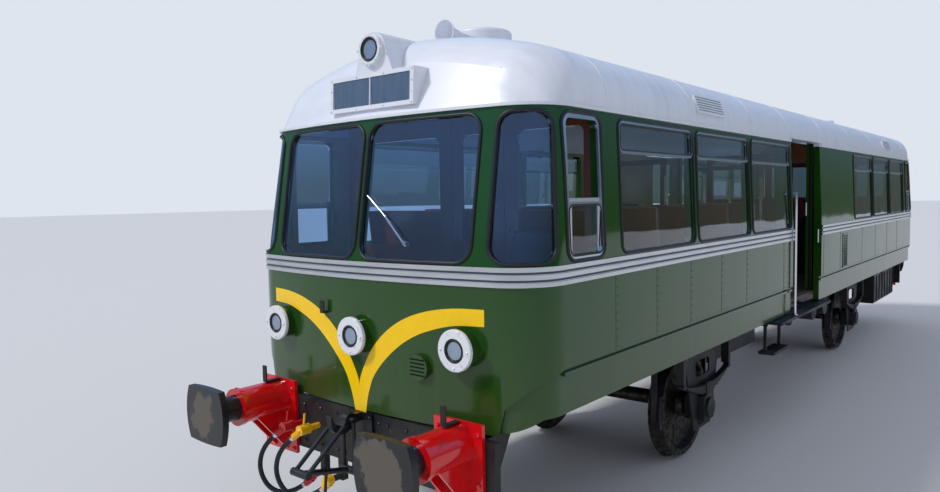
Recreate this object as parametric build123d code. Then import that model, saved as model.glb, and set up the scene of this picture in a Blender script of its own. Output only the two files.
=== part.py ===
from build123d import *
import math
import os

os.makedirs("parts", exist_ok=True)

# A four-wheel diesel railbus with a driving cab at each end.
# Millimetres. +X runs to the photographed end, +Y to the vehicle's left, +Z up.
# The origin lies at mid length and mid width, at the level of the flange tips.
# The vehicle looks the same after half a turn about Z, so most pieces come in turned pairs.

# Wheels and axles
flange_depth = 28
wheel_radius = 500
wheelbase = 6000
back_to_back = 1360
flange_thickness = 32
tyre_width = 135
tyre_thickness = 62
web_thickness = 26
hub_radius = 115
hub_width = 165
axle_radius = 78
journal_radius = 58
journal_end_y = 1038
running_gap = 0.3

# Body shell
body_half_width = 1330
gutter_half_width = 1291
tuck_half_width = 1305
nose_reach = 6360
gutter_nose_reach = 6210
bow_radius = 6000
corner_radius = 330
skirt_z = 1218
nose_bottom_z = 1128
tuck_z = 1500
tuck_end_x = 5930
crease_start_x = 6000
crease_middle = (6165, 1402)
crease_end = (6245, 1290)
crease_foot_x = 6262
skirt_slope_x = 6080
ledge_z = 1452
ledge_height = 22
ledge_depth = 20
waist_z = 1998
waist_height = 115
rib_height = 24
rib_depth = 13
gutter_z = 3041
end_seam_x = 5340
wall = 65
nose_wall = 55

# Roof
crown_z = 3608
crown_radius = 3500
shoulder_radius = 350
roof_wall = 45
roof_corner_radius = 560
roof_rake = 340
roof_block_top_z = 3760
gutter_depth = 16
gutter_height = 18

# Floor and underframe
floor_z = 1328
floor_thickness = 38
solebar_y = 975
solebar_width = 75
solebar_height = 180
solebar_web = 14
solebar_end_x = 6190
headstock_face_x = 6350
headstock_thickness = 50
headstock_half_width = 1120
headstock_bottom_z = 740
headstock_top_z = 1118

# Windows
saloon_window_width = 1200
window_pitch = 1276
first_window_x = 4612
window_sill_z = 2137
window_head_z = 3002
window_corner = 60
hopper_sill_z = 2786
screen_inner_y = 30
screen_outer_y = 900
screen_corner = 100
corner_cut_start = 2900
glass_thickness = 6
glass_inset = 12
seat_gap = 0.3
cab_window_front_x = 5880
cab_window_back_x = 5460
cab_window_corner = 70
cab_sash_top_z = 2478
frame_bar = 26

# Sliding doors
door_front_x = 1395
door_back_x = 250
door_head_z = 3078
door_lap = 25
door_thickness = 34
door_outer_y = 1220
door_clearance = 6
door_open_reveal = 5
pocket_lining = 32
door_track_width = 10
door_track_height = 12
door_window_width = 640
door_glass_thickness = 6

# Buffers and drawgear
buffer_y = 863.5
buffer_z = 1082
buffer_face_x = 6980
buffer_plate_width = 370
buffer_plate_thickness = 25
buffer_plate_top_z = 1218
buffer_plate_bottom_z = 688
buffer_tube_radius = 122
buffer_tube_end_x = 6745
plunger_radius = 88
head_thickness = 45
head_width = 450
head_height = 380

# Lamps
nose_lamp_z = 1628
outer_lamp_y = 860
outer_lamp_face_x = 6392
centre_lamp_face_x = 6432
lamp_radius = 112
lamp_rim_radius = 126
lamp_lens_radius = 68
headlamp_z = 3501
headlamp_face_x = 6190
headlamp_radius = 104

axle_z = flange_depth + wheel_radius
axle_x = wheelbase / 2
flange_radius = wheel_radius + flange_depth
flange_back_y = back_to_back / 2
tyre_outer_y = flange_back_y + tyre_width
waist_top_z = waist_z + waist_height
solebar_top_z = floor_z - floor_thickness
solebar_bottom_z = solebar_top_z - solebar_height
inner_half_width = tuck_half_width - wall
nodes = {}


def keep(name, *shapes):
    """Files every solid of the shapes under one node name."""
    found = nodes.setdefault(name, [])
    for shape in shapes:
        found.extend(shape.solids())


def write_all():
    """Writes one file for each node."""
    for name, solids in nodes.items():
        shape = solids[0] if len(solids) == 1 else Compound(solids)
        export_step(shape, f"parts/{name}.step")


def block(x0, x1, y0, y1, z0, z1):
    """A box given by its limits along each axis."""
    place = Pos((x0 + x1) / 2, (y0 + y1) / 2, (z0 + z1) / 2)
    return place * Box(abs(x1 - x0), abs(y1 - y0), abs(z1 - z0))


def rod(start, radius, length, axis):
    """A cylinder that starts at a point and runs along an axis direction."""
    return extrude(Plane(origin=start, z_dir=axis) * Circle(radius), amount=length)


def bar(start, end, radius):
    """A round bar between two points."""
    run = Vector(*end) - Vector(*start)
    return rod(start, radius, run.length, (run.X, run.Y, run.Z))


def turned(shape):
    """The same shape at the other end and side: half a turn about Z."""
    return Rot(0, 0, 180) * shape


def mirrored(shape):
    """The same shape on the other side of the centre plane."""
    return mirror(shape, about=Plane.XZ)


def four_corners(shape):
    """Copies of a shape at all four corners of the vehicle."""
    other = mirrored(shape)
    return [shape, other, turned(shape), turned(other)]


def plan(z, nose, half, corner, bow):
    """The body's outline from above: two sides, two bowed ends and four round corners."""
    reach = math.sqrt((bow - corner) ** 2 - (half - corner) ** 2)
    cx = nose - bow + reach
    cy = half - corner
    turn = math.atan2(cy, reach)
    tx = nose - bow + bow * math.cos(turn)
    ty = bow * math.sin(turn)
    lean = (math.pi / 2 + turn) / 2
    mx = cx + corner * math.cos(lean)
    my = cy + corner * math.sin(lean)
    edges = [
        Line((-cx, half), (cx, half)),
        ThreePointArc((cx, half), (mx, my), (tx, ty)),
        ThreePointArc((tx, ty), (nose, 0), (tx, -ty)),
        ThreePointArc((tx, -ty), (mx, -my), (cx, -half)),
        Line((cx, -half), (-cx, -half)),
        ThreePointArc((-cx, -half), (-mx, -my), (-tx, -ty)),
        ThreePointArc((-tx, -ty), (-nose, 0), (-tx, ty)),
        ThreePointArc((-tx, ty), (-mx, my), (-cx, half)),
    ]
    return Pos(0, 0, z) * make_face(edges)


def body_form(skin):
    """The body's solid form, moved in from the outer surface by the skin's thickness."""
    # Columns: height, nose reach, half width
    levels = [
        (nose_bottom_z, nose_reach - 8, body_half_width - 8),
        (tuck_z, nose_reach, body_half_width),
        (waist_top_z, nose_reach, body_half_width),
        (gutter_z, gutter_nose_reach, gutter_half_width),
    ]
    outlines = [
        plan(z, nose - skin, half - skin, corner_radius - skin, bow_radius - skin)
        for z, nose, half in levels
    ]
    return loft(outlines, ruled=True)


def cabin_space():
    """The hollow inside the walls, from below the floor up to the gutter."""
    # Columns: height, nose reach, half width
    levels = [
        (nose_bottom_z - 10, nose_reach - nose_wall, inner_half_width),
        (waist_top_z, nose_reach - nose_wall, inner_half_width),
        (gutter_z, gutter_nose_reach - nose_wall, gutter_half_width - wall),
    ]
    outlines = [
        plan(z, nose, half, corner_radius - nose_wall, bow_radius - nose_wall)
        for z, nose, half in levels
    ]
    return loft(outlines, ruled=True)


def roof_form(skin, side_inset, nose_inset):
    """The domed roof's solid form, rolled over at its rim and moved in by the skin's thickness."""
    half = gutter_half_width - side_inset
    nose = gutter_nose_reach - nose_inset
    low = plan(gutter_z, nose, half, corner_radius - skin, bow_radius - skin)
    high = plan(roof_block_top_z, nose - roof_rake, half, roof_corner_radius - skin, bow_radius - skin)
    prism = loft([low, high], ruled=True)
    crown_start = (-nose - 200, 0, crown_z - crown_radius)
    domed = prism & rod(crown_start, crown_radius - skin, 2 * nose + 400, (1, 0, 0))
    above_gutter = domed.edges().filter_by(lambda edge: edge.center().Z > gutter_z + 150)
    rim = above_gutter.filter_by(lambda edge: edge.bounding_box().size.Z < shoulder_radius - skin)
    return fillet(rim, shoulder_radius - skin)


def window_prism(centre, width, z0, z1, corner, length, across, along):
    """A round-cornered prism that cuts a window, from a centre (x, y) along a direction."""
    plane = Plane(origin=(*centre, (z0 + z1) / 2), x_dir=across, z_dir=along)
    return extrude(plane * RectangleRounded(width, z1 - z0, corner), amount=length)


def side_prism(x0, x1, z0, z1, corner, inset=0):
    """A window prism through the left side, smaller all round by the inset."""
    width = abs(x1 - x0) - 2 * inset
    centre = ((x0 + x1) / 2, 1100)
    low = z0 + inset
    high = z1 - inset
    return window_prism(centre, width, low, high, corner - inset, 300, (-1, 0, 0), (0, 1, 0))


def screen_prism(inset=0):
    """A prism for the front windscreen left of the centre pillar, smaller all round by the inset."""
    width = screen_outer_y - screen_inner_y - 2 * inset
    centre = (5900, (screen_outer_y + screen_inner_y) / 2)
    z0 = window_sill_z + inset
    z1 = window_head_z - inset
    return window_prism(centre, width, z0, z1, screen_corner - inset, 600, (0, 1, 0), (1, 0, 0))


def corner_prism(inset=0):
    """A prism for the left front corner's windscreen, cut on the diagonal and raked like the nose."""
    low_front = -3706 + inset
    high_front = -3608 + inset
    side_edge = -3316 - inset
    low = window_sill_z + inset
    high = window_head_z - inset
    diagonal = Plane(origin=(corner_cut_start, corner_cut_start, 0), x_dir=(-1, 1, 0), z_dir=(1, 1, 0))
    outline = Polyline(
        (low_front, low), (side_edge, low), (side_edge, high), (high_front, high), close=True
    )
    outline_face = make_face(outline)
    rounded = fillet(outline_face.vertices(), screen_corner - 10 - inset)
    return extrude(diagonal * rounded, amount=2000)


def window_span(x):
    """The two ends of a saloon window whose middle is at x."""
    return x - saloon_window_width / 2, x + saloon_window_width / 2


front_windows = [first_window_x - index * window_pitch for index in range(3)]
window_centres = front_windows + [-x for x in front_windows]
cab_window = (cab_window_back_x, cab_window_front_x, window_sill_z, window_head_z, cab_window_corner)

# Body shell, tucked in below the ledge and cut open where the doors and windows are
shell = body_form(0) - cabin_space()
shell -= block(-tuck_end_x, tuck_end_x, -2000, 2000, 0, skirt_z)
shell -= block(-tuck_end_x, tuck_end_x, tuck_half_width, 1500, 0, tuck_z)
shell -= block(-tuck_end_x, tuck_end_x, -1500, -tuck_half_width, 0, tuck_z)
ledge_out_y = tuck_half_width + ledge_depth
ledge = block(-tuck_end_x, tuck_end_x, tuck_half_width - 2, ledge_out_y, ledge_z, ledge_z + ledge_height)
shell = shell + ledge + mirrored(ledge)

# The tuck sweeps round each corner below a crease, and the skirt's foot slopes down to the nose
tuck_depth = body_half_width - tuck_half_width
ledge_top_z = ledge_z + ledge_height
crease = make_face(
    [
        Line((tuck_end_x, tuck_z), (crease_start_x, ledge_top_z)),
        ThreePointArc((crease_start_x, ledge_top_z), crease_middle, crease_end),
        Line(crease_end, (crease_foot_x, 1000)),
        Line((crease_foot_x, 1000), (tuck_end_x, 1000)),
        Line((tuck_end_x, 1000), (tuck_end_x, tuck_z)),
    ]
)
skirt_foot = make_face(
    Polyline(
        (tuck_end_x - 5, 1000), (crease_foot_x, 1000), (crease_foot_x, nose_bottom_z),
        (skirt_slope_x, skirt_z), (tuck_end_x - 5, skirt_z), close=True
    )
)
across = Plane(origin=(0, 1500, 0), x_dir=(1, 0, 0), z_dir=(0, -1, 0))
tucked_plan = plan(
    900, nose_reach - tuck_depth, tuck_half_width, corner_radius - tuck_depth, bow_radius - tuck_depth
)
corner_tuck = extrude(across * crease, amount=3000) - extrude(tucked_plan, amount=700)
foot_cut = extrude(across * skirt_foot, amount=3000)
for cut in (corner_tuck, foot_cut):
    shell = shell - cut - turned(cut)
for prism in (screen_prism(), corner_prism(), side_prism(*cab_window)):
    for hole in four_corners(prism):
        shell -= hole
for x in window_centres:
    hole = side_prism(*window_span(x), window_sill_z, window_head_z, window_corner)
    shell = shell - hole - mirrored(hole)
doorway = block(door_back_x, door_front_x, 1100, 1500, 1000, gutter_z + 100)
shell = shell - doorway - turned(doorway)

front_end = shell & block(end_seam_x, nose_reach + 100, -1500, 1500, 1000, gutter_z + 100)

# The doorway's jambs and the pocket that the open door runs into, closed above by a header
door_travel = door_front_x + door_lap - door_back_x + door_open_reveal
leaf_back_x = door_back_x - door_lap
leaf_front_x = door_front_x + door_lap
leaf_back_open_x = leaf_back_x - door_travel
door_inner_y = door_outer_y - door_thickness
slot_inner_y = door_inner_y - door_clearance
slot_outer_y = door_outer_y + door_clearance
lining_y = slot_inner_y - pocket_lining
leaf_top_z = door_head_z - 12
slot_top_z = leaf_top_z + door_clearance
header_top_z = slot_top_z + 14
pocket_back_x = leaf_back_open_x - 2 * door_clearance
pocket_end_x = pocket_back_x - 30
jamb_x = leaf_front_x + 2 * door_clearance
jamb_end_x = jamb_x + 40
web_out_y = slot_outer_y - 0.5
# Columns: back x, front x, inner y, outer y, top z
pocket_pieces = [
    (pocket_end_x, door_back_x, lining_y, slot_inner_y, header_top_z),
    (door_front_x, jamb_end_x, lining_y, slot_inner_y, header_top_z),
    (pocket_end_x, pocket_back_x, lining_y, web_out_y, header_top_z),
    (jamb_x, jamb_end_x, lining_y, web_out_y, header_top_z),
    (pocket_end_x, pocket_back_x, web_out_y - 5, inner_half_width + 5, gutter_z),
    (jamb_x, jamb_end_x, web_out_y - 5, inner_half_width + 5, gutter_z),
]
left_side = shell & block(-end_seam_x, end_seam_x, 0, 1500, 1000, gutter_z + 100)
for x0, x1, y0, y1, top in pocket_pieces:
    left_side += block(x0, x1, y0, y1, floor_z, top)
left_side += block(pocket_end_x, jamb_end_x, lining_y, web_out_y, slot_top_z, header_top_z)
keep("left_side", left_side)
keep("right_side", turned(left_side))

# Roof in three pieces, notched over the doorways
roof_solid = roof_form(0, 0, 0)
roof_shell = roof_solid - roof_form(roof_wall, wall, nose_wall)
notch = block(door_back_x, door_front_x, 1150, 1500, gutter_z - 10, door_head_z)
roof_shell = roof_shell - notch - turned(notch)
dome = roof_shell & block(end_seam_x, nose_reach, -1500, 1500, gutter_z, crown_z + 10)
roof = roof_shell & block(-end_seam_x, end_seam_x, -1500, 1500, gutter_z, crown_z + 10)
keep("front_roof_dome", dome)
keep("rear_roof_dome", turned(dome))

# Louvre panels stand on the roof's shoulders
shoulder_centre_y = gutter_half_width - shoulder_radius
shoulder_centre_z = crown_z - crown_radius + math.sqrt(
    (crown_radius - shoulder_radius) ** 2 - shoulder_centre_y ** 2
)
louvre_tilt = 18
louvre_pitch = 22
louvre_panel = Pos(0, shoulder_radius + 4.3, 0) * Box(590, 16, 150)
louvre_slots = [
    Pos(0, shoulder_radius, (index - 2.5) * louvre_pitch) * Rot(24, 0, 0) * Box(548, 160, 9)
    for index in range(6)
]
louvre_place = Pos(0, shoulder_centre_y, shoulder_centre_z) * Rot(louvre_tilt, 0, 0)
for x in (3610, -3850):
    placed = Pos(x, 0, 0) * louvre_place * louvre_panel
    roof = roof + placed + turned(placed)
    for slot in louvre_slots:
        hole = Pos(x, 0, 0) * louvre_place * slot
        roof = roof - hole - turned(hole)
keep("roof", roof)

# Polished gutter round the roof's foot, stepped up over each doorway as a drip rail
gutter_nose_x = gutter_nose_reach + gutter_depth
drip_out_y = gutter_half_width + gutter_depth
gutter_plan = plan(gutter_z, gutter_nose_x, drip_out_y, corner_radius + gutter_depth, bow_radius)
gutters = extrude(gutter_plan, amount=gutter_height) - roof_solid
step_x0 = door_back_x - 40
step_x1 = door_front_x + 40
gap = block(step_x0, step_x1, 1200, 1500, gutter_z - 10, gutter_z + 40)
rail = block(step_x0, step_x1, gutter_half_width, drip_out_y, door_head_z, door_head_z + 14)
rail += block(step_x0, step_x0 + 14, gutter_half_width, drip_out_y, gutter_z, door_head_z)
rail += block(step_x1 - 14, step_x1, gutter_half_width, drip_out_y, gutter_z, door_head_z)
keep("gutters", gutters - gap - turned(gap) + rail + turned(rail))

# Waist moulding: a thin band with three raised ribs, broken at the doorways
band_plan = plan(waist_z, nose_reach, body_half_width, corner_radius, bow_radius)
backing_plan = plan(waist_z, nose_reach + 4, body_half_width + 4, corner_radius + 4, bow_radius + 4)
rib_half_width = body_half_width + rib_depth
rib_corner = corner_radius + rib_depth
rib_plan = plan(waist_z, nose_reach + rib_depth, rib_half_width, rib_corner, bow_radius + rib_depth)
band = extrude(backing_plan, amount=waist_height)
rib_step = (waist_height - rib_height) / 2
for index in range(3):
    band += Pos(0, 0, index * rib_step) * extrude(rib_plan, amount=rib_height)
band -= extrude(band_plan, amount=waist_height)
band_gap = block(door_back_x, door_front_x, 1200, 1500, waist_z - 10, waist_top_z + 10)
keep("waist_mouldings", band - band_gap - turned(band_gap))

# Glass lies just inside the outer surface, so it curves and leans with the body
pane_layer = body_form(glass_inset) - body_form(glass_inset + glass_thickness)
for prism in (screen_prism(seat_gap), corner_prism(seat_gap)):
    keep("windscreens", *four_corners(pane_layer & prism))
for x in window_centres:
    pane = pane_layer & side_prism(*window_span(x), window_sill_z, window_head_z, window_corner, seat_gap)
    keep("side_window_glass", pane, mirrored(pane))
sash = (cab_window_back_x, cab_window_front_x, window_sill_z, cab_sash_top_z, cab_window_corner)
keep("side_window_glass", *four_corners(pane_layer & side_prism(*sash, seat_gap)))

# Polished frames of the hopper lights and of the cab's drop windows, outside the glass
frame_layer = body_form(-3) - body_form(glass_inset - seat_gap)
for x in window_centres:
    hopper = (*window_span(x), hopper_sill_z, window_head_z, window_corner)
    ring = side_prism(*hopper, seat_gap) - side_prism(*hopper, frame_bar)
    frame = frame_layer & ring
    keep("window_frames", frame, mirrored(frame))
cab_ring = side_prism(*cab_window, seat_gap) - side_prism(*cab_window, frame_bar)
sash_bar = side_prism(*sash, seat_gap) - side_prism(*sash, frame_bar)
keep("window_frames", *four_corners(frame_layer & (cab_ring + sash_bar)))

# Floor and welded underframe
floor_nose_x = nose_reach - nose_wall - 1
floor_half_width = inner_half_width - seat_gap
floor_plan = plan(solebar_top_z, floor_nose_x, floor_half_width, corner_radius - nose_wall, bow_radius)
floor = extrude(floor_plan, amount=floor_thickness)
track_y = door_outer_y - door_thickness / 2
track = block(
    pocket_back_x, jamb_x, track_y - door_track_width / 2, track_y + door_track_width / 2,
    floor_z - 2, floor_z + door_track_height
)
keep("floor", floor + track + turned(track))

sole_out_y = solebar_y + solebar_width / 2
sole_in_y = solebar_y - solebar_width / 2
solebar = block(-solebar_end_x, solebar_end_x, sole_in_y, sole_out_y, solebar_bottom_z, solebar_top_z)
solebar -= block(
    -solebar_end_x, solebar_end_x, sole_in_y, sole_out_y - solebar_web,
    solebar_bottom_z + solebar_web, solebar_top_z - solebar_web
)
underframe = solebar + mirrored(solebar)
web_y = sole_out_y - solebar_web
for x in (-6120, -4300, -2150, -700, 700, 2150, 4300, 6120):
    underframe += block(x - 45, x + 45, -web_y, web_y, solebar_bottom_z + 20, solebar_top_z)
headstock_back_x = headstock_face_x - headstock_thickness
headstock = block(
    headstock_back_x, headstock_face_x, -headstock_half_width, headstock_half_width,
    headstock_bottom_z, headstock_top_z
)
gusset = make_face(
    Polyline(
        (6040, solebar_bottom_z), (headstock_back_x, solebar_bottom_z),
        (headstock_back_x, 760), (6240, 760),
        close=True
    )
)
end_gusset_plane = Plane(origin=(0, sole_out_y, 0), x_dir=(1, 0, 0), z_dir=(0, -1, 0))
gusset_solid = extrude(end_gusset_plane * gusset, amount=60)
draft_box = block(5600, headstock_back_x, -160, 160, 900, 1112)
underframe = underframe + headstock + gusset_solid + mirrored(gusset_solid) + draft_box
underframe = underframe + turned(headstock) + turned(draft_box)
underframe = underframe + turned(gusset_solid) + turned(mirrored(gusset_solid))
for x in (5650, -5650):
    underframe += block(x - 45, x + 45, -sole_in_y - 5, sole_in_y + 5, 1112, solebar_top_z)
# Columns: y and z of each dummy coupling's arm
for y, z in ((-422, 606), (-229, 620)):
    holder = block(headstock_back_x, headstock_face_x, y - 22, y + 22, z - 30, headstock_bottom_z)
    holder += block(headstock_face_x, 6430, y - 16, y + 16, z - 16, z + 16)
    underframe = underframe + holder + turned(holder)

# Wheelset: one axle with two tyred wheels, turned from a single profile
rim_inner_radius = wheel_radius - tyre_thickness
wheel_web_y = flange_back_y + tyre_width / 2
hub_y0 = wheel_web_y - hub_width / 2
hub_y1 = wheel_web_y + hub_width / 2
# Columns: distance from the centre plane, radius
wheel_profile = [
    (0, 0),
    (0, axle_radius - 8),
    (hub_y0 - 60, axle_radius - 8),
    (hub_y0, axle_radius),
    (hub_y0, hub_radius),
    (wheel_web_y - web_thickness, hub_radius + 20),
    (wheel_web_y - web_thickness / 2, rim_inner_radius - 25),
    (flange_back_y, rim_inner_radius),
    (flange_back_y, flange_radius - 8),
    (flange_back_y + 8, flange_radius),
    (flange_back_y + 18, flange_radius - 2),
    (flange_back_y + flange_thickness, wheel_radius + 3),
    (flange_back_y + flange_thickness + 12, wheel_radius),
    (tyre_outer_y - 6, wheel_radius - 4),
    (tyre_outer_y, wheel_radius - 12),
    (tyre_outer_y, rim_inner_radius),
    (wheel_web_y + web_thickness / 2, rim_inner_radius - 25),
    (wheel_web_y + web_thickness, hub_radius + 20),
    (hub_y1, hub_radius),
    (hub_y1, journal_radius + 14),
    (hub_y1 + 22, journal_radius),
    (journal_end_y, journal_radius),
    (journal_end_y, 0),
]
half_wheelset = revolve(Plane.YZ * make_face(Polyline(*wheel_profile, close=True)), axis=Axis.Y)
wheelset = Pos(axle_x, 0, axle_z) * (half_wheelset + mirrored(half_wheelset))
keep("front_wheelset", wheelset)
keep("rear_wheelset", turned(wheelset))

# Axleboxes run on the journals, in the slots of guards that hang from the solebars
box_y0 = hub_y1 + 26
box_y1 = journal_end_y + 10
box_half_x = 112
box_bottom_z = axle_z - 118
box_top_z = axle_z + 122
bore_length = journal_end_y + running_gap - box_y0
guard_y0 = solebar_y - 8
guard_y1 = solebar_y + 8
guard_bottom_z = 330
groove_depth = 8
axlebox = block(axle_x - box_half_x, axle_x + box_half_x, box_y0, box_y1, box_bottom_z, box_top_z)
axlebox = fillet(axlebox.edges().filter_by(Axis.Y), 24)
axlebox += rod((axle_x, box_y1, axle_z), 92, 22, (0, 1, 0))
axlebox -= rod((axle_x, box_y0 - 1, axle_z), journal_radius + running_gap, bore_length + 1, (0, 1, 0))
for side in (-1, 1):
    groove_x = axle_x + side * (box_half_x - groove_depth / 2 + 5)
    axlebox -= block(groove_x - 9, groove_x + 9, guard_y0 - seat_gap, guard_y1 + seat_gap, 0, 2000)
keep("axleboxes", *four_corners(axlebox))

slot_half_x = box_half_x - 8 + seat_gap
guard_outline = make_face(
    Polyline(
        (-430, solebar_bottom_z), (430, solebar_bottom_z),
        (190, guard_bottom_z), (-190, guard_bottom_z), close=True
    )
)
guard_slot = Pos(0, 560) * RectangleRounded(2 * slot_half_x, 380, 20)
light_hole = Pos(0, 900) * RectangleRounded(330, 150, 40)
guard_plane = Plane(origin=(axle_x, guard_y1, 0), x_dir=(1, 0, 0), z_dir=(0, -1, 0))
guard = extrude(guard_plane * (guard_outline - guard_slot - light_hole), amount=guard_y1 - guard_y0)
keep("axle_guards", *four_corners(guard))

# Leaf springs beside the guards, each leaf an arc, on the axleboxes and hung from the solebars
spring_y0 = guard_y1 + 2
spring_y1 = spring_y0 + 56
leaf_thickness = 13
spring_arc_radius = 1900
buckle_half_x = 55
# Half length of each leaf, from the lowest, shortest one up
leaf_half_lengths = [160, 240, 320, 400, 470, 540]
spring_plane = Plane(origin=(axle_x, spring_y1, 0), x_dir=(1, 0, 0), z_dir=(0, -1, 0))
spring = None
for index, half in enumerate(leaf_half_lengths):
    low_z = box_top_z + 20 + index * leaf_thickness
    inner = spring_arc_radius - leaf_thickness
    outer_rise = spring_arc_radius - math.sqrt(spring_arc_radius ** 2 - half ** 2)
    inner_rise = spring_arc_radius - math.sqrt(inner ** 2 - half ** 2)
    leaf = make_face(
        [
            ThreePointArc((-half, low_z + outer_rise), (0, low_z), (half, low_z + outer_rise)),
            Line((half, low_z + outer_rise), (half, low_z + inner_rise)),
            ThreePointArc(
                (half, low_z + inner_rise), (0, low_z + leaf_thickness), (-half, low_z + inner_rise)
            ),
            Line((-half, low_z + inner_rise), (-half, low_z + outer_rise)),
        ]
    )
    solid = extrude(spring_plane * leaf, amount=spring_y1 - spring_y0)
    spring = solid if spring is None else spring + solid
leaf_stack_top_z = box_top_z + 20 + len(leaf_half_lengths) * leaf_thickness
spring += block(
    axle_x - buckle_half_x, axle_x + buckle_half_x,
    spring_y0 - 1, spring_y1 + 8, box_top_z, leaf_stack_top_z + 16
)
eye_half_x = leaf_half_lengths[-1]
eye_z = leaf_stack_top_z - leaf_thickness + 85
for side in (-1, 1):
    x = axle_x + side * eye_half_x
    spring += rod((x, spring_y0, eye_z), 24, spring_y1 - spring_y0, (0, 1, 0))
keep("leaf_springs", *four_corners(spring))
for side in (-1, 1):
    x = axle_x + side * eye_half_x
    hanger = block(x - 26, x + 26, spring_y0 - 20, spring_y1, eye_z + 24, solebar_bottom_z)
    for copy in four_corners(hanger):
        underframe += copy
keep("underframe", underframe)

# Brake blocks on both sides of each wheel, carried by hangers from the underframe
shoe_y0 = flange_back_y + flange_thickness + 12
shoe_y1 = tyre_outer_y - 6
shoe_gap = 8
shoe_depth = 46
shoe_ring = Circle(wheel_radius + shoe_gap + shoe_depth) - Circle(wheel_radius + shoe_gap)
for side in (-1, 1):
    keep_arc = Pos(side * (wheel_radius + 40), 20) * Rectangle(160, 300)
    shoe_plane = Plane(origin=(axle_x, shoe_y1, axle_z), x_dir=(1, 0, 0), z_dir=(0, -1, 0))
    shoe = extrude(shoe_plane * (shoe_ring & keep_arc), amount=shoe_y1 - shoe_y0)
    hanger_x = axle_x + side * (wheel_radius + shoe_gap + shoe_depth + 14)
    hanger_x0, hanger_x1 = hanger_x - 16, hanger_x + 16
    beam_top_z = solebar_bottom_z + 30
    hanger = block(hanger_x0, hanger_x1, shoe_y0 + 20, shoe_y1 - 20, axle_z - 40, beam_top_z)
    beam = block(hanger_x0, hanger_x1, shoe_y0 + 20, sole_in_y, solebar_bottom_z, beam_top_z)
    keep("brake_blocks", *four_corners(shoe + hanger + beam))

# Engine and drive under the floor: plain blocks at their real places
engine = block(-150, 1350, -430, 430, 540, 1080)
engine = fillet(engine.edges().filter_by(Axis.X), 40)
engine += block(650, 750, -350, 350, 1080, solebar_bottom_z + 20)
engine += rod((-150, 0, 800), 230, 620, (-1, 0, 0))
engine += block(-745, -655, -120, 120, 1000, solebar_bottom_z + 20)
keep("engine", engine)
drive_y = -40
drive_bore = axle_radius - 8 + running_gap
casing = rod((-axle_x, drive_y - 110, axle_z), 225, 220, (0, 1, 0))
casing += bar((-axle_x, drive_y, axle_z), (-axle_x + 420, drive_y, axle_z + 20), 95)
casing -= rod((-axle_x, drive_y - 130, axle_z), drive_bore, 260, (0, 1, 0))
casing += block(-axle_x - 40, -axle_x + 40, drive_y - 30, drive_y + 30, axle_z + 200, solebar_bottom_z + 16)
casing += block(
    -axle_x - 60, -axle_x + 60, -sole_in_y, sole_in_y, solebar_bottom_z + 16, solebar_bottom_z + 90
)
casing += bar((-775, -20, 740), (-axle_x + 410, drive_y, axle_z + 20), 42)
keep("final_drive", casing)

# Tanks and boxes hung between the solebars and the skirt
tank = block(-1950, -850, -900, -520, 640, 1040)
tank = fillet(tank.edges().filter_by(Axis.X), 60)
for x in (-1880, -920):
    tank += block(x - 20, x + 20, -960, -860, 1000, solebar_bottom_z)
keep("fuel_tank", tank)
battery_box = block(-5600, -3900, 800, 1120, 640, solebar_bottom_z)
for index in range(8):
    x = -5560 + index * 232
    battery_box += block(x, x + 24, 1120, 1132, 660, 1080)
keep("battery_boxes", battery_box, turned(battery_box))
silencer = rod((1500, -720, 860), 150, 900, (1, 0, 0))
for x in (1580, 2320):
    silencer += block(x - 20, x + 20, -740, -700, 990, solebar_bottom_z - 10)
    silencer += block(x - 20, x + 20, -sole_out_y + 8, -700, solebar_bottom_z - 20, solebar_bottom_z)
keep("exhaust_silencer", silencer)
for x in (-1750, -1150):
    reservoir = rod((x, 200, 880), 140, 700, (0, 1, 0))
    reservoir += block(x - 20, x + 20, 860, 880, 1000, solebar_bottom_z - 10)
    reservoir += block(x - 20, x + 20, 860, sole_out_y - 10, solebar_bottom_z - 16, solebar_bottom_z)
    keep("air_reservoirs", reservoir)

# Sliding doors: a glazed leaf that runs on a track on the floor. The left one is open, the right one shut
leaf = block(leaf_back_x, leaf_front_x, door_inner_y, door_outer_y, floor_z + 5, leaf_top_z)
leaf_middle = (leaf_back_x + leaf_front_x) / 2
door_pane_x0 = leaf_middle - door_window_width / 2
door_pane = (door_pane_x0, door_pane_x0 + door_window_width, window_sill_z, 2960, 70)
leaf -= side_prism(*door_pane)
groove_half = door_track_width / 2 + running_gap
groove_top_z = floor_z + door_track_height + running_gap
leaf -= block(
    leaf_back_x - 1, leaf_front_x + 1, track_y - groove_half, track_y + groove_half, 0, groove_top_z
)
pull_x = leaf_front_x - 90
leaf -= block(pull_x - 22, pull_x + 22, door_outer_y - 12, door_outer_y + 10, 2020, 2220)
leaf_glass = side_prism(*door_pane, seat_gap) & block(
    leaf_back_x, leaf_front_x,
    track_y - door_glass_thickness / 2, track_y + door_glass_thickness / 2, 2000, 3000
)
keep("left_door", Pos(-door_travel, 0, 0) * leaf)
keep("left_door_glass", Pos(-door_travel, 0, 0) * leaf_glass)
keep("right_door", turned(leaf))
keep("right_door_glass", turned(leaf_glass))

# Chromed rails at the doorways: a post outside the front jamb and two D handles on the back one
post_x = 1430
post_y = body_half_width + 32
post_top_z = 2513
door_post = rod((post_x, post_y, 1206), 14, post_top_z - 1206, (0, 0, 1))
door_post += rod((post_x, body_half_width + seat_gap, post_top_z - 16), 12, 32, (0, 1, 0))
door_post += rod((post_x, post_y, 1204 + seat_gap), 30, 10, (0, 0, 1))
keep("door_rails", door_post, turned(door_post))
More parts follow.
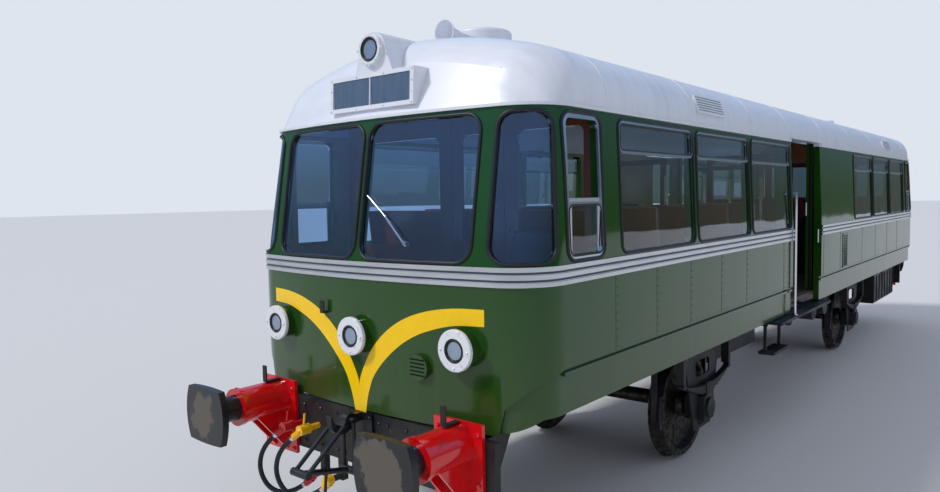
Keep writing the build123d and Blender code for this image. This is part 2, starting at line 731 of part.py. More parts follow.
# Columns: y, z of the middle
for y, z in ((1300, 1988), (1164, 2305)):
    grip_x = door_back_x + 46
    grip = bar((grip_x, y, z - 70), (grip_x, y, z + 70), 8)
    for foot_z in (z - 70, z + 70):
        grip += bar((door_back_x + seat_gap, y, foot_z), (grip_x, y, foot_z), 8)
        grip += rod((grip_x, y, foot_z - 8), 8, 16, (0, 0, 1))
    keep("door_rails", grip, turned(grip))

# Steps below the doorways
step_board = block(80, 2000, 1180, 1400, 1174, 1204)
step_board += block(1450, 1950, 1150, 1310, 850, 878)
# Columns: x, bottom z of each bracket
for x, low_z in ((200, 1144), (1000, 1144), (1470, 850), (1930, 850)):
    step_board += block(x - 14, x + 14, sole_out_y, 1240, 1144, 1174)
    if low_z < 1144:
        step_board += block(x - 14, x + 14, 1200, 1228, low_z, 1174)
keep("step_boards", step_board, turned(step_board))

# Buffers: a gusseted base plate and tube, with a sprung head whose plunger runs in the tube
plate_x = headstock_face_x + buffer_plate_thickness
housing = block(
    headstock_face_x, plate_x, buffer_y - buffer_plate_width / 2, buffer_y + buffer_plate_width / 2,
    buffer_plate_bottom_z, buffer_plate_top_z
)
housing += rod((plate_x, buffer_y, buffer_z), buffer_tube_radius, buffer_tube_end_x - plate_x, (1, 0, 0))
housing += rod((buffer_tube_end_x - 36, buffer_y, buffer_z), buffer_tube_radius + 9, 36, (1, 0, 0))
gusset_face = make_face(Polyline((plate_x, 700), (plate_x, 1010), (6640, 1010), close=True))
for offset in (-80, 62):
    gusset_plane = Plane(origin=(0, buffer_y + offset + 18, 0), x_dir=(1, 0, 0), z_dir=(0, -1, 0))
    housing += extrude(gusset_plane * gusset_face, amount=18)
housing -= rod((6460, buffer_y, buffer_z), plunger_radius + running_gap, 400, (1, 0, 0))
keep("buffer_housings", *four_corners(housing))

head_back_x = buffer_face_x - head_thickness
half_w = head_width / 2
half_h = head_height / 2
head_outline = make_face(
    [
        ThreePointArc((-half_w + 40, half_h - 8), (0, half_h), (half_w - 40, half_h - 8)),
        ThreePointArc((half_w - 40, half_h - 8), (half_w, 0), (half_w - 40, -half_h + 8)),
        ThreePointArc((half_w - 40, -half_h + 8), (0, -half_h), (-half_w + 40, -half_h + 8)),
        ThreePointArc((-half_w + 40, -half_h + 8), (-half_w, 0), (-half_w + 40, half_h - 8)),
    ]
)
head_plane = Plane(origin=(head_back_x, buffer_y, buffer_z), x_dir=(0, 1, 0), z_dir=(1, 0, 0))
head = extrude(head_plane * head_outline, amount=head_thickness)
head += rod((6480, buffer_y, buffer_z), plunger_radius, head_back_x - 6480, (1, 0, 0))
head = head + Pos(head_back_x - 30, buffer_y, buffer_z) * Rot(0, 90, 0) * Cone(plunger_radius, 140, 60)
keep("buffer_heads", *four_corners(head))

# Lamp irons on the buffers and beside the middle lamp
iron = block(plate_x, 6500, buffer_y - 20, buffer_y + 20, buffer_plate_top_z - 8, buffer_plate_top_z)
iron += block(6490, 6500, buffer_y - 20, buffer_y + 20, buffer_plate_top_z - 8, 1330)
iron += block(6400, 6480, buffer_y - 8, buffer_y + 8, buffer_z + buffer_tube_radius, buffer_plate_top_z - 8)
keep("lamp_irons", *four_corners(iron))

# Drawhook with a screw coupling looped back over it
hook_outline = make_face(
    [
        Line((headstock_face_x, 1062), (6440, 1055)),
        ThreePointArc((6440, 1055), (6535, 1008), (6618, 1072)),
        Line((6618, 1072), (6626, 1149)),
        Line((6626, 1149), (6592, 1096)),
        ThreePointArc((6592, 1096), (6547, 1058), (6505, 1092)),
        ThreePointArc((6505, 1092), (6480, 1126), (6440, 1120)),
        Line((6440, 1120), (headstock_face_x, 1112)),
        Line((headstock_face_x, 1112), (headstock_face_x, 1062)),
    ]
)
hook_plane = Plane(origin=(0, 24, 0), x_dir=(1, 0, 0), z_dir=(0, -1, 0))
hook = extrude(hook_plane * hook_outline, amount=48)
hook += block(headstock_face_x, headstock_face_x + 18, -120, 120, 960, 1116)
hook -= rod((6465, -30, 1088), 18 + running_gap, 60, (0, 1, 0))
keep("drawhooks", hook, turned(hook))
# Centres of the coupling's three pins in side view
hook_pin = (6465, 1088)
screw_back = (6466, 752)
screw_front = (6851, 843)
shackle_seat = (6547, 1074)
coupling = rod((hook_pin[0], -64, hook_pin[1]), 18, 128, (0, 1, 0))
coupling += rod((screw_back[0], -78, screw_back[1]), 25, 156, (0, 1, 0))
coupling += rod((screw_front[0], -78, screw_front[1]), 25, 156, (0, 1, 0))
coupling += rod((shackle_seat[0], -66, shackle_seat[1]), 15, 132, (0, 1, 0))
for side in (-50, 50):
    coupling += bar((hook_pin[0], side, hook_pin[1]), (screw_back[0], side, screw_back[1]), 14)
for side in (-60, 60):
    coupling += bar((screw_front[0], side, screw_front[1]), (shackle_seat[0], side, shackle_seat[1]), 14)
coupling += bar((screw_back[0] - 60, 0, screw_back[1] - 14), (screw_front[0], 0, screw_front[1]), 19)
coupling += bar((6655, 0, 797), (6672, 0, 640), 10)
keep("screw_couplings", coupling, turned(coupling))


def hose(points, radius):
    """A round hose along straight runs joined by the largest arcs that the runs allow."""
    corners = []
    for before, here, after in zip(points, points[1:], points[2:]):
        run_in = Vector(*here) - Vector(*before)
        run_out = Vector(*after) - Vector(*here)
        half_turn = math.radians(run_in.get_angle(run_out)) / 2
        corners.append(0.45 * min(run_in.length, run_out.length) / math.tan(half_turn))
    print("hose arc radii", [round(value) for value in corners])
    path = FilletPolyline(*points, radius=corners)
    start = Plane(origin=points[0], z_dir=path % 0)
    return sweep(start * Circle(radius), path=path)


# Air hoses loop from their cocks to the dummy couplings that hold their lower ends
hose_radius = 17
cock_z = 920
head_z = 606
# Columns: node of the fittings, y of the cock, shift of the route
for name, cock_y, shift in (
    ("red_hose_fittings", -645, (0, 0, 0)),
    ("yellow_hose_fittings", -452, (0, 193, 14)),
):
    route = [
        tuple(Vector(*point) + Vector(*shift))
        for point in (
            (6530, -694, 872),
            (6574, -788, 790),
            (6604, -826, 620),
            (6592, -722, 480),
            (6524, -560, 466),
            (6474, -456, 552),
        )
    ]
    tube = hose(route, hose_radius)
    keep("brake_hoses", tube, turned(tube))
    first_run = (Vector(*route[1]) - Vector(*route[0])).normalized()
    last_run = (Vector(*route[-1]) - Vector(*route[-2])).normalized()
    cock_height = cock_z + shift[2]
    fitting = rod((headstock_face_x, cock_y, cock_height), 22, 120, (1, 0, 0))
    fitting += rod((6436, cock_y, cock_height), 36, 84, (1, 0, 0))
    fitting += bar((6500, cock_y, cock_height), tuple(Vector(*route[0]) - first_run * 60), 26)
    fitting += bar(tuple(Vector(*route[0]) - first_run * 66), route[0], 24)
    fitting += bar((6478, cock_y, cock_height + 25), (6472, cock_y + 6, cock_height + 112), 8)
    head_y = route[-1][1] + 34
    lower = rod((6430, head_y, head_z + shift[2]), 36, 56, (1, 0, 0))
    lower += bar(route[-1], tuple(Vector(*route[-1]) + last_run * 64), 24)
    keep(name, fitting, lower, turned(fitting), turned(lower))

# Nose lamps: green housings cut to the bowed nose, with polished rims and lenses
body_solid = body_form(0)
# Columns: y, face x
for y, face_x in (
    (0, centre_lamp_face_x),
    (outer_lamp_y, outer_lamp_face_x),
    (-outer_lamp_y, outer_lamp_face_x),
):
    cup = rod((nose_reach - 140, y, nose_lamp_z), lamp_radius, face_x - 24 - nose_reach + 140, (1, 0, 0))
    cup -= body_solid
    keep("nose_lamps", cup, turned(cup))
    rim_ring = rod((face_x - 24, y, nose_lamp_z), lamp_rim_radius, 24, (1, 0, 0))
    rim_ring -= rod((face_x - 14, y, nose_lamp_z), lamp_lens_radius, 20, (1, 0, 0))
    rim_ring = fillet(rim_ring.edges().group_by(Axis.X)[-1], 8)
    keep("lamp_rims", rim_ring, turned(rim_ring))
    lens = rod((face_x - 14, y, nose_lamp_z), lamp_lens_radius - seat_gap, 6, (1, 0, 0))
    keep("lamp_lenses", lens, turned(lens))
vent_body = rod((nose_reach - 50, 540, 1483), 80, 56, (1, 0, 0))
for index in range(5):
    slot_z = 1483 - 48 + index * 24
    vent_body -= block(nose_reach - 2, nose_reach + 10, 480, 600, slot_z - 5, slot_z + 5)
front_end += vent_body
keep("front_end", front_end)
keep("rear_end", turned(front_end))
small_iron = block(nose_reach - 20, nose_reach + 28, -350, -310, 1745, 1755)
small_iron += block(nose_reach + 20, nose_reach + 28, -350, -310, 1745, 1830)
small_iron -= body_solid
keep("lamp_irons", small_iron, turned(small_iron))


def arched(half, shoulder_z, top_z, foot_half, foot_z):
    """A round-topped outline that widens to its foot, seen from the front."""
    return make_face(
        [
            ThreePointArc((-half, shoulder_z), (0, top_z), (half, shoulder_z)),
            Line((half, shoulder_z), (foot_half, foot_z)),
            Line((foot_half, foot_z), (-foot_half, foot_z)),
            Line((-foot_half, foot_z), (-half, shoulder_z)),
        ]
    )


# Headlamp fairing that runs back into the dome, above a wedge-shaped destination box with two blank panes
fairing_front = Plane(origin=(headlamp_face_x - 30, 0, 0), x_dir=(0, 1, 0), z_dir=(1, 0, 0))
fairing_back = Plane(origin=(5600, 0, 0), x_dir=(0, 1, 0), z_dir=(1, 0, 0))
fairing = loft(
    [
        fairing_front * arched(116, headlamp_z, headlamp_z + 117, 190, 3330),
        fairing_back * arched(70, 3570, 3612, 90, 3500),
    ],
    ruled=True,
)
headlamp_rim = rod((headlamp_face_x - 30, 0, headlamp_z), headlamp_radius, 36, (1, 0, 0))
headlamp_rim -= rod((headlamp_face_x - 10, 0, headlamp_z), headlamp_radius - 28, 30, (1, 0, 0))
headlamp_rim = fillet(headlamp_rim.edges().group_by(Axis.X)[-1], 8)
headlamp_lens = rod((headlamp_face_x - 10, 0, headlamp_z), headlamp_radius - 28 - seat_gap, 6, (1, 0, 0))
keep("lamp_rims", headlamp_rim, turned(headlamp_rim))
keep("lamp_lenses", headlamp_lens, turned(headlamp_lens))

box_half = 402
box_low_z = 3108
box_high_z = 3346
box_low_x = 6205
box_high_x = 6192
side_outline = make_face(
    Polyline(
        (5900, box_low_z), (box_low_x, box_low_z),
        (box_high_x, box_high_z), (5900, box_high_z), close=True
    )
)
box_plane = Plane(origin=(0, box_half, 0), x_dir=(1, 0, 0), z_dir=(0, -1, 0))
sign = extrude(box_plane * side_outline, amount=2 * box_half) + fairing - roof_solid
pane_low_z = box_low_z + 28
pane_high_z = box_high_z - 28
for y0, y1 in ((-370, -3), (3, 370)):
    sign -= block(6183, 6300, y0, y1, pane_low_z, pane_high_z)
    pane = block(6183, 6188, y0 + seat_gap, y1 - seat_gap, pane_low_z + seat_gap, pane_high_z - seat_gap)
    keep("destination_panes", pane, turned(pane))
keep("destination_boxes", sign, turned(sign))

# Horn on its stand, and the drum ventilator behind it
horn_y = 80
horn_z = 3705
horn_mouth_x = 5535
horn_end_x = 5215
# Columns: distance forward, radius
horn_profile = [
    (horn_end_x, 0),
    (horn_end_x, 22),
    (horn_mouth_x - 190, 27),
    (horn_mouth_x - 90, 48),
    (horn_mouth_x - 40, 66),
    (horn_mouth_x - 12, 87),
    (horn_mouth_x, 91),
    (horn_mouth_x, 85),
    (horn_mouth_x - 18, 78),
    (horn_mouth_x - 46, 62),
    (horn_mouth_x - 92, 40),
    (horn_mouth_x - 120, 0),
]
horn_plane = Plane(origin=(0, horn_y, horn_z), x_dir=(1, 0, 0), z_dir=(0, -1, 0))
horn_face = horn_plane * make_face(Polyline(*horn_profile, close=True))
horn = revolve(horn_face, axis=Axis((0, horn_y, horn_z), (1, 0, 0)))
stand = block(5260, 5330, horn_y - 20, horn_y + 20, crown_z - 60, horn_z - 8) - roof_solid
keep("horns", horn + stand, turned(horn + stand))
drum = rod((4990, 0, crown_z - 60), 230, 3798 - crown_z + 60, (0, 0, 1))
drum = fillet(drum.edges().group_by(Axis.Z)[-1], 26) - roof_solid
keep("roof_vents", drum, turned(drum))

# Exhaust stack on the ridge, a flanged pipe with a rain cap
stack_x = -2454
stack = rod((stack_x, 0, crown_z - 40), 45, 172, (0, 0, 1))
stack += rod((stack_x, 0, crown_z - 40), 78, 56, (0, 0, 1))
stack += rod((stack_x, 0, crown_z + 132), 58, 58, (0, 0, 1))
stack = stack - rod((stack_x, 0, crown_z - 45), 35, 155, (0, 0, 1)) - roof_solid
keep("exhaust_stack", stack)

# Wiper on the driver's screen, laid on the raked glass
rake = (nose_reach - gutter_nose_reach) / (gutter_z - waist_top_z)
wiper_y = 432
wiper_z = 2238


def off_nose(y, z, stand_off):
    """A point at a distance from the raked and bowed nose, measured square to it."""
    bow_drop = bow_radius - math.sqrt(bow_radius ** 2 - y ** 2)
    skin_x = nose_reach - bow_drop - rake * (z - waist_top_z)
    outward = Vector(1, y / bow_radius, rake).normalized()
    return tuple(Vector(skin_x, y, z) + outward * stand_off)


wiper = bar(off_nose(wiper_y, wiper_z, seat_gap - glass_inset), off_nose(wiper_y, wiper_z, 26), 14)
wiper += bar(off_nose(wiper_y + 14, wiper_z - 20, 20), off_nose(251, 2398, 14), 6)
wiper += bar(off_nose(292, 2362, 4), off_nose(65, 2535, 4), 6)
keep("wipers", wiper, turned(wiper))

# Cab bulkheads fill the section from floor to ceiling, with windows and a doorway in line with the aisle
bulkhead_x0 = 5290
bulkhead_x1 = 5320
cab_door_y0 = -60
cab_door_y1 = 440
cab_door_top_z = 3240
hinge_radius = 12
# Bottom z of the bulkhead's knuckle in each hinge
hinge_levels = (1560, 2260, 2960)
cabin_solid = cabin_space() & block(4000, 6000, -1500, 1500, floor_z + seat_gap, gutter_z)
ceiling_solid = roof_form(roof_wall + 1, wall + 1, nose_wall + 1)
ceiling_solid &= block(4000, 6000, -1500, 1500, gutter_z, 3700)
section = (cabin_solid + ceiling_solid) & block(bulkhead_x0, bulkhead_x1, -1500, 1500, floor_z, 3700)
bulkhead = section - block(
    bulkhead_x0 - 5, bulkhead_x1 + 5, cab_door_y0, cab_door_y1, floor_z - 1, cab_door_top_z
)
for y0, y1 in ((-1100, -180), (560, 1100)):
    opening = Plane(origin=(bulkhead_x0 - 5, (y0 + y1) / 2, 2560), x_dir=(0, 1, 0), z_dir=(1, 0, 0))
    bulkhead -= extrude(opening * RectangleRounded(y1 - y0, 840, 50), amount=60)
hinge_x = bulkhead_x1 + hinge_radius + 1
for z in hinge_levels:
    knuckle = rod((hinge_x, cab_door_y1, z), hinge_radius, 40, (0, 0, 1))
    knuckle += block(bulkhead_x1, hinge_x, cab_door_y1 + 4, cab_door_y1 + 46, z, z + 40)
    bulkhead += knuckle - rod((hinge_x, cab_door_y1, z - 1), 5 + running_gap, 42, (0, 0, 1))
keep("cab_bulkheads", bulkhead, mirror(bulkhead, about=Plane.YZ))
door_leaf = block(
    bulkhead_x0, bulkhead_x1, cab_door_y0 + 6, cab_door_y1 - 6, floor_z + 8, cab_door_top_z - 8
)
cab_door_y = (cab_door_y0 + cab_door_y1) / 2
pane_plane = Plane(origin=(bulkhead_x0 - 5, cab_door_y, 2560), x_dir=(0, 1, 0), z_dir=(1, 0, 0))
door_leaf -= extrude(pane_plane * RectangleRounded(300, 840, 50), amount=60)
door_leaf += block(bulkhead_x1, bulkhead_x1 + 46, cab_door_y0 + 46, cab_door_y0 + 62, 2080, 2200)
for z in hinge_levels:
    door_leaf += rod((hinge_x, cab_door_y1, z - 30.3), 5, 100.6, (0, 0, 1))
    for low in (z - 30.3, z + 40.3):
        door_leaf += rod((hinge_x, cab_door_y1, low), hinge_radius, 30, (0, 0, 1))
        door_leaf += block(bulkhead_x1, hinge_x, cab_door_y1 - 46, cab_door_y1 - 2, low, low + 30)
keep("front_cab_door", door_leaf)
keep("rear_cab_door", mirror(door_leaf, about=Plane.YZ))

# Partitions between the vestibule and the saloons, open in line with the aisle
for x0 in (1500, -1540):
    for y0, y1 in ((-1130, -60), (440, 1130)):
        screen = block(x0, x0 + 40, y0, y1, floor_z, 2150)
        screen += block(x0, x0 + 40, y0, y0 + 60, 2150, 2900) + block(x0, x0 + 40, y1 - 60, y1, 2150, 2900)
        screen += block(x0, x0 + 40, y0, y1, 2860, 2920)
        keep("vestibule_screens", screen)
for y in (-40, 420):
    post = rod((1560, y, floor_z), 17, 1400, (0, 0, 1))
    keep("grab_poles", post, turned(post))

# Seats: high-backed benches on pedestals, two and three abreast each side of the aisle
seat_side = make_face(
    [
        Line((0, 395), (20, 470)),
        Line((20, 470), (430, 435)),
        Line((430, 435), (505, 1100)),
        ThreePointArc((505, 1100), (545, 1128), (580, 1090)),
        Line((580, 1090), (530, 380)),
        Line((530, 380), (0, 395)),
    ]
)
# Columns: y of the bench's right end, y of its left end
bench_spans = ((-1195, -60), (440, 1195))
seat_pitch = 730
first_seat_x = 1640
for row in range(5):
    for y0, y1 in bench_spans:
        front_x = first_seat_x + row * seat_pitch
        seat_plane = Plane(origin=(front_x, y1, floor_z), x_dir=(1, 0, 0), z_dir=(0, -1, 0))
        bench = extrude(seat_plane * seat_side, amount=y1 - y0)
        middle_y = (y0 + y1) / 2
        bench += block(front_x + 120, front_x + 420, middle_y - 60, middle_y + 60, floor_z, floor_z + 400)
        keep("saloon_seats", bench, mirror(bench, about=Plane.YZ))

# Driving positions: a desk below the left windscreen, and a seat on a pillar
desk_outline = make_face(
    Polyline(
        (5960, floor_z), (6200, floor_z), (6200, 2090), (6080, 2090),
        (5900, 2010), (5900, 1900), (5960, 1880),
        close=True
    )
)
desk_plane = Plane(origin=(0, 1130, 0), x_dir=(1, 0, 0), z_dir=(0, -1, 0))
outside_cabin = block(5800, 6400, -1500, 1500, 1200, 2200) - cabin_solid
desk = extrude(desk_plane * desk_outline, amount=900) - outside_cabin
desk += rod((5990, 700, 2048), 22, 50, (0, 0, 1)) + rod((5990, 700, 2098), 95, 16, (0, 0, 1))
keep("driver_desks", desk, turned(desk))
stool = rod((5620, 800, floor_z), 45, 470, (0, 0, 1)) + block(5400, 5800, 580, 1020, 1798, 1880)
stool += block(5400, 5460, 580, 1020, 1880, 2300)
keep("driver_seats", stool, turned(stool))


write_all()
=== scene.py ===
import math

import bmesh
import bpy
from mathutils import Matrix, Quaternion, Vector


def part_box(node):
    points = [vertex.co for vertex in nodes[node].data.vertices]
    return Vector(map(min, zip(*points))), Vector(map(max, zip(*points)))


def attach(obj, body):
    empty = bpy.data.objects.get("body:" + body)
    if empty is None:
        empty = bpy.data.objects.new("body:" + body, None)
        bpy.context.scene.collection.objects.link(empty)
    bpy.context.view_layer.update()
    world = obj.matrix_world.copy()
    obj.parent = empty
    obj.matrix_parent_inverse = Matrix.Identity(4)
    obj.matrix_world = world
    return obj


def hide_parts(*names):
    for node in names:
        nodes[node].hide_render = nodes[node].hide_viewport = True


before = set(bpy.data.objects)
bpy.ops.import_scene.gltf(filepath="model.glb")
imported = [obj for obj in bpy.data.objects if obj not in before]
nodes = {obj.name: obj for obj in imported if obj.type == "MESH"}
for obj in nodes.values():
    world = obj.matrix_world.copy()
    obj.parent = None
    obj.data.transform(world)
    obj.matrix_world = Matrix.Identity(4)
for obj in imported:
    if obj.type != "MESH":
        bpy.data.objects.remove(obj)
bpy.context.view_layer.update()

# Camera
# Its place, heading and lens were solved from known sizes of the vehicle in the photograph.
# It stands beside the front corner and looks back along the near side.
IMAGE_WIDTH, SENSOR, FOCUS_PIXELS = 940, 36.0, 722.24
HEADING, TILT, ROLL = 3.8342, -0.0667, -0.0182
camera = bpy.data.objects.new("camera", bpy.data.cameras.new("camera"))
bpy.context.scene.collection.objects.link(camera)
bpy.context.scene.camera = camera
looking = Vector((math.cos(TILT) * math.cos(HEADING), math.cos(TILT) * math.sin(HEADING), math.sin(TILT)))
camera.rotation_mode = "QUATERNION"
camera.rotation_quaternion = looking.to_track_quat("-Z", "Y") @ Quaternion((0, 0, 1), ROLL)
camera.location = (9.5014, 3.5791, 2.5127)
camera.data.sensor_width = SENSOR
camera.data.lens = FOCUS_PIXELS / IMAGE_WIDTH * SENSOR
camera.data.clip_end = 400

# Studio
# A plain pale floor, a white sky that lights evenly, and one broad lamp high at the front right.
# The camera sees a paler sky than the one that sheds the light, and polished surfaces mirror
# a sky that runs from grey-green at the horizon to blue above.


def hex_colour(code):
    """An sRGB hex colour as the linear values that a shader socket takes."""
    channels = [int(code[i:i + 2], 16) / 255 for i in (0, 2, 4)]
    return (*[c / 12.92 if c <= 0.04045 else ((c + 0.055) / 1.055) ** 2.4 for c in channels], 1.0)


def add(material, kind, sockets=(), give=None, **fields):
    """Adds one shader node. Node outputs are linked to its sockets, and hex colours and numbers are set."""
    made = material.node_tree.nodes.new("ShaderNode" + kind)
    for field, value in fields.items():
        setattr(made, field, value)
    for socket, value in dict(sockets).items():
        if isinstance(value, bpy.types.NodeSocket):
            material.node_tree.links.new(value, made.inputs[socket])
        else:
            made.inputs[socket].default_value = hex_colour(value) if isinstance(value, str) else value
    return made if give is None else made.outputs[give]


def plain_mesh(shape, name):
    """A bmesh turned into a mesh and freed."""
    data = bpy.data.meshes.new(name)
    shape.to_mesh(data)
    shape.free()
    return data


world = bpy.data.worlds.new("studio_sky")
bpy.context.scene.world = world
bpy.context.scene.view_settings.view_transform = "Standard"
world.use_nodes = True
world.node_tree.nodes.clear()
ray = add(world, "LightPath").outputs
seen = add(world, "Math", {0: ray["Is Camera Ray"], 1: ray["Is Transmission Ray"]}, 0,
           operation="ADD", use_clamp=True)
lit = add(world, "Background", {"Color": "eaf0ff", "Strength": 0.62}, 0)
backdrop = add(world, "Background", {"Color": "e3eaf3", "Strength": 0.95}, 0)
even_sky = add(world, "MixShader", {0: seen, 1: lit, 2: backdrop}, 0)
upward = add(world, "TexCoord", give="Generated")
upward = add(world, "SeparateXYZ", {0: upward}, "Z")
rise = add(world, "MapRange", {0: upward, 1: 0.02, 2: 0.34}, 0)
sky_tones = add(world, "Mix", {0: rise, 6: "59635c", 7: "8fb9f2"}, 2, data_type="RGBA")
mirrored_sky = add(world, "Background", {"Color": sky_tones, "Strength": 0.9}, 0)
whole_sky = add(world, "MixShader", {0: ray["Is Glossy Ray"], 1: even_sky, 2: mirrored_sky}, 0)
add(world, "OutputWorld", {"Surface": whole_sky})

key = bpy.data.lights.new("key_lamp", "SUN")
key.energy = 1.75
key.angle = math.radians(9)
key.color = (1.0, 0.98, 0.94)
key_lamp = bpy.data.objects.new("key_lamp", key)
bpy.context.scene.collection.objects.link(key_lamp)
key_lamp.rotation_mode = "QUATERNION"
key_lamp.rotation_quaternion = Vector((-0.62, 0.38, -0.72)).to_track_quat("-Z", "Y")

# Matt floor paint: it takes soft shadows and mirrors nothing sharply
floor_finish = bpy.data.materials.new("matt_studio_floor_paint")
floor_finish.use_nodes = True
floor_finish.node_tree.nodes.clear()
floor_paint = add(floor_finish, "BsdfPrincipled",
                  {"Base Color": "d9dadb", "Roughness": 0.75, "Specular IOR Level": 0.2}, 0)
add(floor_finish, "OutputMaterial", {"Surface": floor_paint})
floor_grid = bmesh.new()
bmesh.ops.create_grid(floor_grid, x_segments=1, y_segments=1, size=180)
floor_data = plain_mesh(floor_grid, "studio_floor")
floor_data.materials.append(floor_finish)
studio_floor = bpy.data.objects.new("studio_floor", floor_data)
bpy.context.scene.collection.objects.link(studio_floor)

# Body panels
# Sheet steel and aluminium panels screwed to a frame, under gloss enamel brushed out by hand.
# The gloss mirrors what stands near, the sheet ripples between its frames, and dust lies low down.


def new_finish(name):
    """An empty material, and the place on the piece that its patterns read."""
    made = bpy.data.materials.new(name)
    made.use_nodes = True
    made.node_tree.nodes.clear()
    return made, add(made, "TexCoord", give="Object")


def close_finish(material, sockets):
    """Ends a material with its surface."""
    surface = add(material, "BsdfPrincipled", sockets, 0)
    add(material, "OutputMaterial", {"Surface": surface})
    return material


def marks(size_mm, detail=3.0):
    """Noise settings for marks about size_mm across."""
    return {"Scale": 1000 / size_mm, "Detail": detail, "Roughness": 0.55}


def coach_enamel(name, main, shade, inner=None):
    """Gloss enamel on sheet metal. The axes of inner say which faces are the shell's cream-lined inside."""
    enamel, place = new_finish(name)
    patches = add(enamel, "TexNoise", {"Vector": place, **marks(900)}, 0)
    paint = add(enamel, "Mix", {0: patches, 6: main, 7: shade}, 2, data_type="RGBA")
    if inner is not None:
        normal = add(enamel, "NewGeometry", give="True Normal")
        outwards = add(enamel, "VectorMath", {0: place, 1: inner}, 0, operation="MULTIPLY")
        facing = add(enamel, "VectorMath", {0: outwards, 1: normal}, "Value", operation="DOT_PRODUCT")
        inside = add(enamel, "MapRange", {0: facing, 1: -0.30, 2: -0.32}, 0)
        level = add(enamel, "SeparateXYZ", {0: normal}, "Z")
        level = add(enamel, "Math", {0: level}, 0, operation="ABSOLUTE")
        upright = add(enamel, "MapRange", {0: level, 1: 0.45, 2: 0.5, 3: 1.0, 4: 0.0}, 0)
        lined = add(enamel, "Math", {0: inside, 1: upright}, 0, operation="MULTIPLY")
        paint = add(enamel, "Mix", {0: lined, 6: paint, 7: "a99c7c"}, 2, data_type="RGBA")
    height = add(enamel, "SeparateXYZ", {0: place}, "Z")
    foot = add(enamel, "MapRange", {0: height, 1: 1.9, 2: 1.0, 4: 0.35}, 0)
    drawn_down = add(enamel, "Mapping", {"Vector": place, "Scale": (1, 1, 0.08)}, 0)
    streaks = add(enamel, "TexNoise", {"Vector": drawn_down, **marks(60, 4)}, 0)
    dust = add(enamel, "Math", {0: foot, 1: streaks}, 0, operation="MULTIPLY")
    colour = add(enamel, "Mix", {0: dust, 6: paint, 7: "6b5f48"}, 2, data_type="RGBA")
    roughness = add(enamel, "MapRange", {0: dust, 2: 0.4, 3: 0.07, 4: 0.42}, 0)
    drawn_down = add(enamel, "Mapping", {"Vector": place, "Scale": (1, 1, 0.6)}, 0)
    ripple = add(enamel, "TexNoise", {"Vector": drawn_down, **marks(420, 1)}, 0)
    ripple = add(enamel, "Bump", {"Height": ripple, "Distance": 0.0032}, 0)
    drawn_along = add(enamel, "Mapping", {"Vector": place, "Scale": (0.12, 0.12, 1)}, 0)
    brushed = add(enamel, "TexNoise", {"Vector": drawn_along, **marks(14, 2)}, 0)
    relief = add(enamel, "Bump", {"Height": brushed, "Distance": 0.00005, "Normal": ripple}, 0)
    return close_finish(enamel, {"Base Color": colour, "Roughness": roughness, "IOR": 1.45, "Normal": relief,
                                 "Coat Weight": 0.15, "Coat Roughness": 0.04})


def dress(name, material):
    """Gives a CAD node its finish."""
    piece = nodes[name]
    piece.data.materials.clear()
    piece.data.materials.append(material)


side_enamel = coach_enamel("brushed_green_coach_enamel_on_sides", "164009", "1d4b10", (0, 1, 0))
for name in ("left_side", "right_side"):
    dress(name, side_enamel)
end_enamel = coach_enamel("brushed_green_coach_enamel_on_ends", "164009", "1d4b10", (1, 1, 0))
for name in ("front_end", "rear_end"):
    dress(name, end_enamel)
dress("nose_lamps", coach_enamel("green_enamel_on_lamp_pods", "164009", "1d4b10"))
# The doors get a darker copy of the body's green: painted shade, as on a side out of the light
shaded_door_enamel = coach_enamel("green_coach_enamel_on_doors_with_painted_shade", "123609", "17400e", (0, 1, 0))
for name in ("left_door", "right_door"):
    dress(name, shaded_door_enamel)

# Roof
# Steel sheet over hoops, with moulded plastic ends, all under one pale grey-white oil paint.
# The weather has chalked it: rain marks and soot run down from the ridge, and only a dull sheen is left.
roof_paint, place = new_finish("weathered_white_roof_paint")
drawn_across = add(roof_paint, "Mapping", {"Vector": place, "Scale": (1, 0.15, 0.15)}, 0)
drips = add(roof_paint, "TexNoise", {"Vector": drawn_across, **marks(90, 4)}, 0)
clouds = add(roof_paint, "TexNoise", {"Vector": place, **marks(700, 5)}, 0)
stain = add(roof_paint, "Math", {0: drips, 1: clouds}, 0, operation="MULTIPLY")
stain = add(roof_paint, "MapRange", {0: stain, 1: 0.22, 2: 0.42, 4: 0.42}, 0)
grit = add(roof_paint, "TexNoise", {"Vector": place, **marks(9, 2)}, 0)
specks = add(roof_paint, "MapRange", {0: grit, 1: 0.70, 2: 0.78}, 0)
chalk = add(roof_paint, "Mix", {0: stain, 6: "e3e6ee", 7: "c2c9d8"}, 2, data_type="RGBA")
chalk = add(roof_paint, "Mix", {0: specks, 6: chalk, 7: "8c8f96"}, 2, data_type="RGBA")
dull = add(roof_paint, "MapRange", {0: stain, 2: 0.5, 3: 0.28, 4: 0.5}, 0)
dents = add(roof_paint, "TexNoise", {"Vector": place, **marks(380, 1)}, 0)
dents = add(roof_paint, "Bump", {"Height": dents, "Distance": 0.0025}, 0)
close_finish(roof_paint, {"Base Color": chalk, "Roughness": dull, "Normal": dents, "IOR": 1.5,
                          "Coat Weight": 0.15, "Coat Roughness": 0.2})
for name in ("roof", "front_roof_dome", "rear_roof_dome", "destination_boxes", "roof_vents", "horns"):
    dress(name, roof_paint)

# Gutter, waist moulding and window frames
# Aluminium extrusions, screwed on. The gutter is painted with the roof, and the rest was polished
# and has dulled: fine lines run along the metal, and grime lies on it in patches.
dress("gutters", roof_paint)


